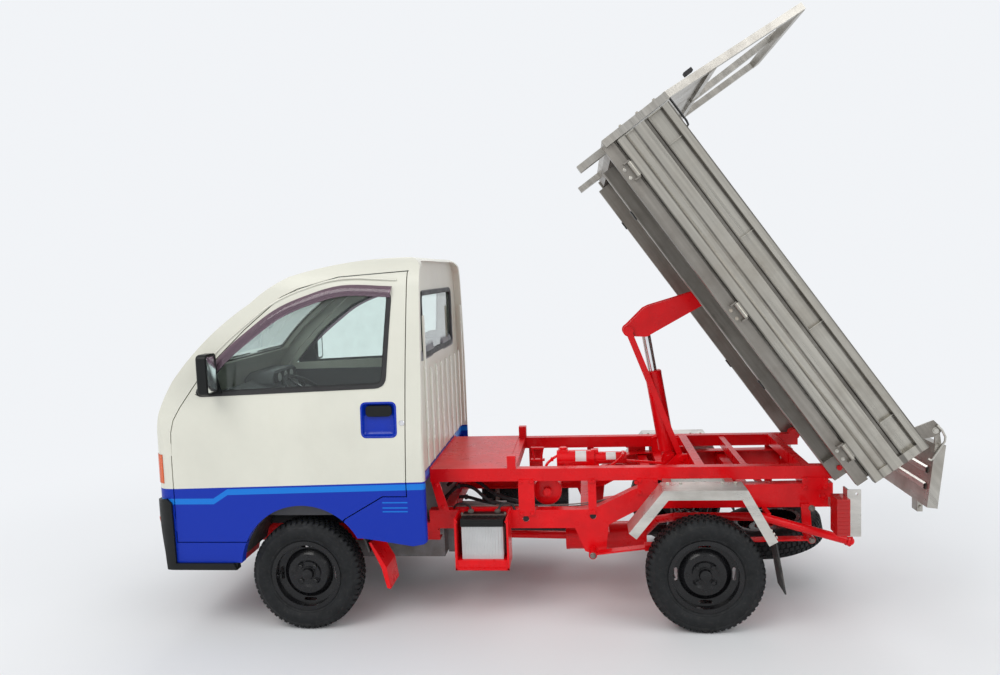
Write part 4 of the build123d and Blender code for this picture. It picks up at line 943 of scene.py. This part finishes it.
with Piece("spring_clamps", dull_steel) as clamps:
    inner_y, outer_y, shackle_x = 421, 471, -2402
    for side in BOTH:
        y0, y1 = side * inner_y, side * outer_y
        for x in (REAR_AXLE_X - 36, REAR_AXLE_X + 36):
            loop = ((y0, 372), (y0, 240), ((y0 + y1) / 2, 222), (y1, 240), (y1, 372))
            clamps.tube([at(x, y, z) for y, z in loop], 6, 8)
            for y in (y0, y1):
                clamps.bolt(at(x, y, 356), UP, 18, 14)
        for x in (REAR_AXLE_X - 190, REAR_AXLE_X + 190):
            clamps.box((x - 14, min(y0, y1) - 3, 318), (x + 14, max(y0, y1) + 3, 354))
        for x, z in ((REAR_AXLE_X + 510, 300), (shackle_x, 376), (shackle_x, 530)):
            clamps.turned(at(x, y1, z), OUT * side, [(0, 15), (6, 15), (8, 12), (14, 11), (15, 8)], 14)

with Piece("rear_dampers", black_paint) as dampers:
    for side in BOTH:
        low, high = at(REAR_AXLE_X - 46, side * 300, 258), at(REAR_AXLE_X - 110, side * 322, 566)
        axis = (high - low).normalized()
        body = [(-6, 16), (12, 22), (14, 24), (165, 24), (168, 20), (170, 8), (250, 8)]
        dampers.turned(low, axis, body, 18)
        dampers.turned(low + axis * 0.150, axis, [(0, 29), (120, 29), (124, 26), (126, 8)], 18)
        for place in (low, high):
            dampers.turned(place - OUT * 0.018, OUT, [(0, 16), (36, 16)], 14)

# Rubber aprons close the front wheel houses towards the frame.
arch_x, arch_z, arch_radius = -5, 316, 311
with Piece("wheel_aprons", seal_rubber) as aprons:
    turns = [radians(degrees) for degrees in range(24, 157, 4)]
    outline = [Vector((arch_x + arch_radius * cos(t), arch_z + arch_radius * sin(t))) for t in turns]
    for side in BOTH:
        aprons.slab(outline, lambda p, lift: at(p.x, side * (395 + lift), p.y), 0, 3)

for side, tag in SIDES:
    with Piece("strut_spring_" + tag, black_paint, "knuckle_" + tag) as spring:
        turns = [2 * pi * k / 24 for k in range(73)]
        coil = [at(42 * cos(t), side * 505 + 42 * sin(t), 552 + k * 0.62) for k, t in enumerate(turns)]
        spring.tube(coil, 5.5, 8)
        spring.turned(at(0, side * 505, 543), UP, [(0, 30), (2, 50), (5, 50), (6, 30)])
        spring.turned(at(0, side * 505, 598), UP, [(0, 48), (5, 50), (8, 30), (14, 20)])
    with Piece("backing_bolts_" + tag, dull_steel, "knuckle_" + tag) as bolts:
        for turn in around(5):
            bolts.bolt(at(84 * sin(turn), side * 582, 268 + 84 * cos(turn)), -OUT * side, 12, 8)

with Piece("exhaust_bands", red_paint) as bands:
    for x in (-1250, -1440, -1640):
        bands.turned(at(x, 200, 310), AHEAD, [(-9, 70), (-9, 72), (9, 72), (9, 70)], 32)
    mouth = [(-4, 25), (0, 26.5), (3, 26.5), (4, 24), (2, 20), (-30, 19)]
    bands.turned(at(-2565, 500, 382.4), Vector((-1, 0, -0.3)), mouth)

with Piece("tank_straps", dull_steel) as straps:
    outline = box_outline(-602, -398, 268, 472, 46, 6)
    for x in (-815, -1145):
        straps.rings([[at(x + dx, p.x * (1 + grow), p.y) for p in outline]
                      for dx, grow in ((-13, 0), (-13, 0.004), (13, 0.004), (13, 0))], closed=True)
with Piece("fuel_cap", black_plastic) as cap:
    cap.turned(at(-980, -597, 430), -OUT, [(0, 34), (6, 34), (8, 29), (22, 28), (24, 24), (25, 0.1)], 28)
    for turn in around(6)[:3]:
        span = Vector((cos(turn), 0, sin(turn))) * 0.026
        cap.rod(at(-980, -621, 430) - span, at(-980, -621, 430) + span, 4, 8)

# Battery: ribs, cover with plugs, clamp, leads and the tray's flange

with Piece("battery_ribs", pale_plastic, bevel=1) as ribs:
    for k in range(13):
        x = -940 + k * 15.6
        ribs.box((x, 547, 322), (x + 6, 550.5, 472))
    for x in (-948.5, -747):
        for k in range(7):
            ribs.box((x, 432 + k * 16, 322), (x + 3, 438 + k * 16, 472))
with Piece("battery_cover", black_plastic, bevel=2) as cover:
    cover.box((-951.5, 419.5, 470), (-741.5, 552.5, 506.5))
    for k in range(6):
        cover.turned(at(-916 + k * 28, 505, 505), UP, [(0, 11), (4, 11), (5, 8)], 14)
    cover.box((-951, 545, 482), (-742, 555, 498))
with Piece("battery_clamp", dull_steel, bevel=0.6) as clamp:
    for x in (-780, -913):
        clamp.turned(at(x, 440, 506), UP, [(0, 12), (16, 11), (18, 8)], 14)
        clamp.box((x - 14, 428, 510), (x + 14, 452, 519))
    clamp.box((-958, 478, 507), (-738, 492, 511))
    for x in (-954, -742):
        clamp.rod(at(x, 485, 300), at(x, 485, 522), 3, 8)
        clamp.bolt(at(x, 485, 511), UP, 11, 9)
with Piece("battery_leads", seal_rubber) as leads:
    for points in (
        [(-780, 440, 516), (-770, 425, 534), (-730, 400, 540), (-690, 372, 520), (-668, 330, 470),
         (-640, 270, 440)],
        [(-913, 440, 516), (-930, 420, 536), (-960, 398, 540), (-985, 385, 520), (-1000, 380, 480),
         (-1004, 330, 462)],
    ):
        leads.tube(run_of(points), 6)
with Piece("tray_flange", red_paint, bevel=1) as flange:
    for x, z in ((-966, 508), (-724, 508), (-966, 300), (-724, 300)):
        flange.bolt(at(x, 566, z - 8), OUT, 10, 6)
    for x0, x1, z1 in ((-976, -714, 272), (-976, -966, 518), (-724, -714, 518)):
        flange.box((x0, 566, 262), (x1, 572, z1))

# Power unit: blank labels, valve block, fittings and clipped pipes to the cylinder
unit_y, unit_z = 190, 715


def on_unit(x, radius, turn):
    return at(x, unit_y + radius * cos(turn), unit_z + radius * sin(turn))


with Piece("unit_labels", label_white) as labels:
    for x_from, x_to, radius, low, high in ((-1300, -1355, 42.5, -10, 74), (-1456, -1506, 32.5, -4, 76)):
        turns = [radians(low + (high - low) * k / 12) for k in range(13)]
        labels.patch([[on_unit(x, radius, turn) for x in (x_from, x_to)] for turn in turns])
with Piece("unit_valves", red_paint, bevel=1.2) as valves:
    valves.box((-1262, 160, 745), (-1212, 218, 764))
    valves.box((-1418, 168, 742), (-1392, 212, 762))
    for turn in around(4, pi / 4):
        for x, along in ((-1212, AHEAD), (-1396, -AHEAD)):
            valves.bolt(on_unit(x, 34, turn), along, 10, 7)
    pulley = [(0, 66), (3, 66), (5, 60), (6, 20), (16, 18), (20, 22), (34, 22), (36, 17)]
    valves.turned(at(-1237, 189, 763), UP, [(0, 14), (2, 19), (9, 19), (11, 15)], 20)
    valves.turned(at(-1155, 300, 575), OUT, pulley, 32)
    valves.turned(at(-1155, 182, 575), -OUT, [(0, 66), (4, 62)], 32)
for name, finish, radius, paths in (
    ("feed_pipes", red_paint, 7, (
        [(-1237, 166, 752), (-1240, 120, 750), (-1270, 106, 715), (-1400, 104, 690), (-1640, 104, 672),
         (-1760, 104, 660)],
        [(-1212, 205, 735), (-1180, 230, 720), (-1150, 240, 690), (-1150, 240, 645)],
        [(-1540, 190, 744), (-1540, 240, 738), (-1500, 300, 716), (-1440, 352, 690)],
    )),
    ("cab_hoses", seal_rubber, 9, (
        [(-610, 130, 560), (-680, 150, 610), (-780, 190, 596), (-880, 230, 540), (-1010, 262, 505),
         (-1110, 262, 470)],
        [(-612, 210, 520), (-690, 236, 585), (-770, 262, 580), (-860, 290, 520), (-1000, 306, 498),
         (-1120, 300, 480)],
        [(-612, 60, 470), (-700, 70, 478), (-820, 110, 460), (-960, 150, 452), (-1090, 170, 430)],
    )),
    ("brake_pipes", dull_steel, 3, (
        [(-640, 318, 500), (-900, 322, 506), (-1300, 322, 512), (-1560, 322, 560), (-1700, 322, 600),
         (-1840, 200, 420)],
        [(-640, 310, 490), (-900, 314, 494), (-1300, 314, 500), (-1540, 314, 540), (-2200, 322, 590),
         (-2400, 322, 590)],
    )),
):
    with Piece(name, finish) as pipes:
        for points in paths:
            pipes.tube(run_of(points), radius)
            for x, y, z in points[1:-1:2]:
                pipes.box((x - 7, y - radius - 3, z - radius - 2), (x + 7, y + radius + 3, z + radius + 2))
with Piece("prop_stand", red_paint, bevel=1) as stand:
    stand.box((-1128, -34, 652), (-1052, -6, 662))
    for x, foot_x in ((-1060, -1072), (-1120, -1108)):
        stand.rod(at(x, -20, 722), at(foot_x, -20, 656), 5, 8)
    stand.box((-1126, -30, 717), (-1054, -10, 727))

# Rear lamps and bolts of the flaps, fenders and brackets
lamp_points = [v.co for v in nodes["tail_lamps"].data.vertices if v.co.y > 0]
lamp_x = [(edge(p.x for p in lamp_points) - axle_x) / MM for edge in (min, max)]
lamp_y = [edge(p.y for p in lamp_points) / MM for edge in (min, max)]
lamp_z = [edge(p.z for p in lamp_points) / MM for edge in (min, max)]
for name, finish, low, high in (
    ("indicator_lens", orange_lens, 0.66, 0.97), ("reverse_lens", lamp_glass, 0.36, 0.62),
    ("stop_lens", red_lens, 0.04, 0.33),
):
    z0, z1 = (lamp_z[0] + (lamp_z[1] - lamp_z[0]) * share for share in (low, high))
    with Piece(name, finish) as lens:
        for side in BOTH:
            outline = box_outline(side * (lamp_y[0] + 4), side * (lamp_y[1] - 4), z0, z1, 5)
            lens.slab(outline, facing_back(lamp_x[0]), -1, 2.2, 1.2)
            for z in [z0 + (z1 - z0) * k / 4 for k in range(1, 4)]:
                low_y, high_y = side * (lamp_y[0] + 8), side * (lamp_y[1] - 8)
                lens.box((lamp_x[0] - 3, low_y, z - 1), (lamp_x[0] - 1, high_y, z + 1))

with Piece("tail_bolts", bolt_zinc) as bolts:
    for side in BOTH:
        for y in (560, 607, 654):
            bolts.bolt(at(REAR_AXLE_X - 310, side * y, 452), Vector((-1, 0, 0.3)), 11, 7)
        for x in (-2040, -1980, -1790, -1730):
            bolts.bolt(at(x, side * 556, 676), UP, 12, 7)
        for z in (470, 500, 600, 640):
            bolts.bolt(at(-2526, side * 585, z), -AHEAD, 11, 7)

# Hoist: pin caps with cotters, cylinder gland and port
for name, body, span, radius, tall in (
    ("arm_swing", "bed", 62, 13, 1), ("link_swing", "chassis", 97, 15, 1),
    ("cylinder_swing", "chassis", 57, 15, 0.4),
):
    centre = Vector(joints[name]["pos_m"])
    profile = [(-1, radius + 6), (3 * tall, radius + 6), (4 * tall, radius), (8 * tall, radius - 2)]
    with Piece("pin_caps_" + name, red_paint, body) as caps:
        for side in BOTH:
            caps.turned(centre + OUT * (side * span * MM), OUT * side, profile, 18)
            if tall == 1:
                cotter = centre + OUT * (side * (span + 5) * MM)
                caps.rod(cotter - UP * 0.016, cotter + UP * 0.018, 2.2, 6)
slide = Vector(joints["rod_slide"]["axis"]).normalized()
if slide.z < 0:
    slide = -slide
foot = Vector(joints["cylinder_swing"]["pos_m"])
below = Vector((slide.z, 0, -slide.x))
with Piece("cylinder_gland", red_paint, "lift_cylinder") as gland:
    gland.turned(foot + slide * 0.445, slide, [(0, 43), (0, 45), (14, 45), (16, 40), (19, 38), (19, 24)], 28)
    gland.turned(foot + slide * 0.034, slide, [(0, 43), (0, 45), (10, 45), (10, 43)], 28)
    gland.turned(foot + slide * 0.110 + below * 0.040, below, [(0, 14), (12, 14), (13, 10), (22, 10)], 6)

# Bed and tailgate: lever rods, hinge and gate bolts, latches, buffers and ribs

with Piece("bed_fittings", bolt_zinc, "bed") as fittings:
    lever = ((-2884, 952), (-2904, 930), (-2918, 900), (-2916, 880), (-2866, 803), (-2858, 797),
             (-2846, 804))
    for side in BOTH:
        fittings.tube([at(x, side * 648, z) for x, z in lever], 5, 8)
        fittings.turned(on_bed(-27, side * 638, 405), OUT * side, [(0, 15), (3, 15), (4, 11), (7, 10)], 16)
        for u in (131, 907, 1683):
            for du in (-22, 22):
                fittings.bolt(on_bed(u + du, side * 668, 12), OUT * side, 12, 7)
        for v in (110, 200, 290):
            fittings.bolt(on_bed(1869, side * 662, v), bed_along, 12, 7)

with Piece("latch_rods", black_paint, "bed") as rods:
    for y in (652, -652):
        rods.tube([on_bed(u, y, v) for u, v in ((1853, 350), (1712, 350), (1694, 346), (1690, 335))], 5, 8)
        rods.box((1838, y - 8, 336), (1862, y + 8, 356), on_bed)

with Piece("bed_buffers", seal_rubber, "bed", bevel=3) as buffers:
    for side in BOTH:
        buffers.box((1866, side * 632, 455), (1884, side * 668, 497), on_bed)
        for u in (500, 1500):
            buffers.box((u, side * 410, -58), (u + 50, side * 440, -52), on_bed)

with Piece("tail_latches", gate_steel, "tailgate", bevel=2) as latches:
    for side in BOTH:
        latches.box((-2874, side * 470, 530), (-2850, side * 530, 590))
        latches.rod(at(-2862, side * 462, 552), at(-2862, side * 540, 552), 7)
tail_tree = tree_of("tailgate")


def tail_face(y, z, lift):
    """Point off the tailgate's inner face, found by a ray from the bed side."""
    hit = tail_tree.ray_cast(at(-2650, y, z), -AHEAD)[0]
    return (hit or at(-2860, y, z)) + AHEAD * (lift * MM)


with Piece("tail_ribs", fender_steel, "tailgate") as ribs:
    for middle in (668, 742):
        ribs.patch([[tail_face(y, middle + dz, lift) for y in range(-600, 601, 60)]
                    for dz, lift in ((17, -1), (11, 9), (-9, 9), (-17, -1))])
with Piece("lamp_housing_ribs", red_lens) as ribs:
    for side in BOTH:
        y0, y1 = side * (lamp_y[0] - 2), side * (lamp_y[1] + 2)
        outline = box_outline(lamp_x[0] + 6, lamp_x[1] - 1, y0, y1, 3, 3)
        for k in range(9):
            z = lamp_z[0] + 12 + k * (lamp_z[1] - lamp_z[0] - 24) / 8
            ribs.slab(outline, lambda p, lift: at(p.x, p.y, z + lift), -1.6, 1.6)

# Cab back: pressed ribs
with Piece("back_ribs", cream_paint) as ribs:
    for y in range(-560, 561, 140):
        top = 1235 if abs(y) < 440 else 1500
        outline = box_outline(y - 14, y + 14, 775, top, 13, 5)
        ribs.slab(outline, facing_back(CAB_BACK_X), -2, 5, 4)


# Floor, light and camera: the floor fades into a pale backdrop

SKY = (0.95, 0.97, 1.0, 1)
BACKDROP = 0.93
ground = Finish("floor_pale", {"Roughness": 0.9, "Specular IOR Level": 0.15})
patches = ground.range(ground.noise(0.5, 4), 0.3, 0.7)
ground.set("Base Color", ground.mix(patches, (0.78, 0.79, 0.80), (0.80, 0.81, 0.82)))
glow = ground.add("Emission", {"Color": SKY, "Strength": BACKDROP})
reach = ground.add("VectorMath", {0: ground.coord}, operation="LENGTH").outputs["Value"]
fade = ground.range(reach, 1.6, 5.0, shape="SMOOTHSTEP")
blend = ground.add("MixShader", {0: fade, 1: ground.shader.outputs[0], 2: glow.outputs[0]})
ground.tree.links.new(blend.outputs[0], ground.tree.nodes["Material Output"].inputs["Surface"])
with Piece("floor", ground, None) as floor:
    bmesh.ops.create_circle(floor.bm, cap_ends=True, segments=64, radius=60)

scene = bpy.context.scene
world = bpy.data.worlds.new("studio")
scene.world = world
world.use_nodes = True
tree = world.node_tree
rays = add_node(tree, "LightPath").outputs
direct = {0: rays["Is Camera Ray"], 1: rays["Is Transmission Ray"]}
seen = add_node(tree, "Math", direct, operation="MAXIMUM")
strength = add_node(tree, "MapRange", {"Value": seen.outputs[0], "To Min": 0.72, "To Max": BACKDROP})
background = tree.nodes["Background"]
tree.links.new(strength.outputs["Result"], background.inputs["Strength"])
background.inputs["Color"].default_value = SKY


def lamp(name, place, target, size, power, colour=(1, 1, 1)):
    data = bpy.data.lights.new(name, "AREA")
    data.shape = "RECTANGLE"
    data.size, data.size_y = size
    data.energy = power
    data.color = colour
    made = linked(name, data)
    made.location = place
    made.rotation_mode = "QUATERNION"
    made.rotation_quaternion = (Vector(target) - Vector(place)).to_track_quat("-Z", "Y")


lamp("key_light", (3.5, 5.5, 6.5), (0, 0, 0.8), (5, 4), 235, (1.0, 0.98, 0.95))
lamp("fill_light", (-5.5, 4.0, 4.5), (0, 0, 1.0), (5, 4), 140)
lamp("back_light", (0.5, -6.0, 5.5), (0, 0, 1.0), (6, 3), 165)

# The photograph's camera: focal length in pixels of its 1000 across, turn to the left, tilt and roll.
FOCAL_PIXELS, SENSOR_MM = 784.6, 36.0
yaw, pitch, roll = radians(6.244), radians(-4.689), radians(-2.156)
camera = linked("camera", bpy.data.cameras.new("camera"))
scene.camera = camera
camera.data.sensor_width = SENSOR_MM
camera.data.lens = FOCAL_PIXELS / 1000 * SENSOR_MM
camera.data.clip_end = 200
ahead = Vector((sin(yaw) * cos(pitch), -cos(yaw) * cos(pitch), sin(pitch)))
right = ahead.cross(UP).normalized()
above = right.cross(ahead)
tilted_right = right * cos(roll) + above * sin(roll)
tilted_above = above * cos(roll) - right * sin(roll)
view = Matrix((tilted_right, tilted_above, -ahead)).transposed().to_4x4()
camera.matrix_world = Matrix.Translation(at(-1369.6, 4209.4, 1684.6)) @ view

scene.view_settings.view_transform = "Standard"
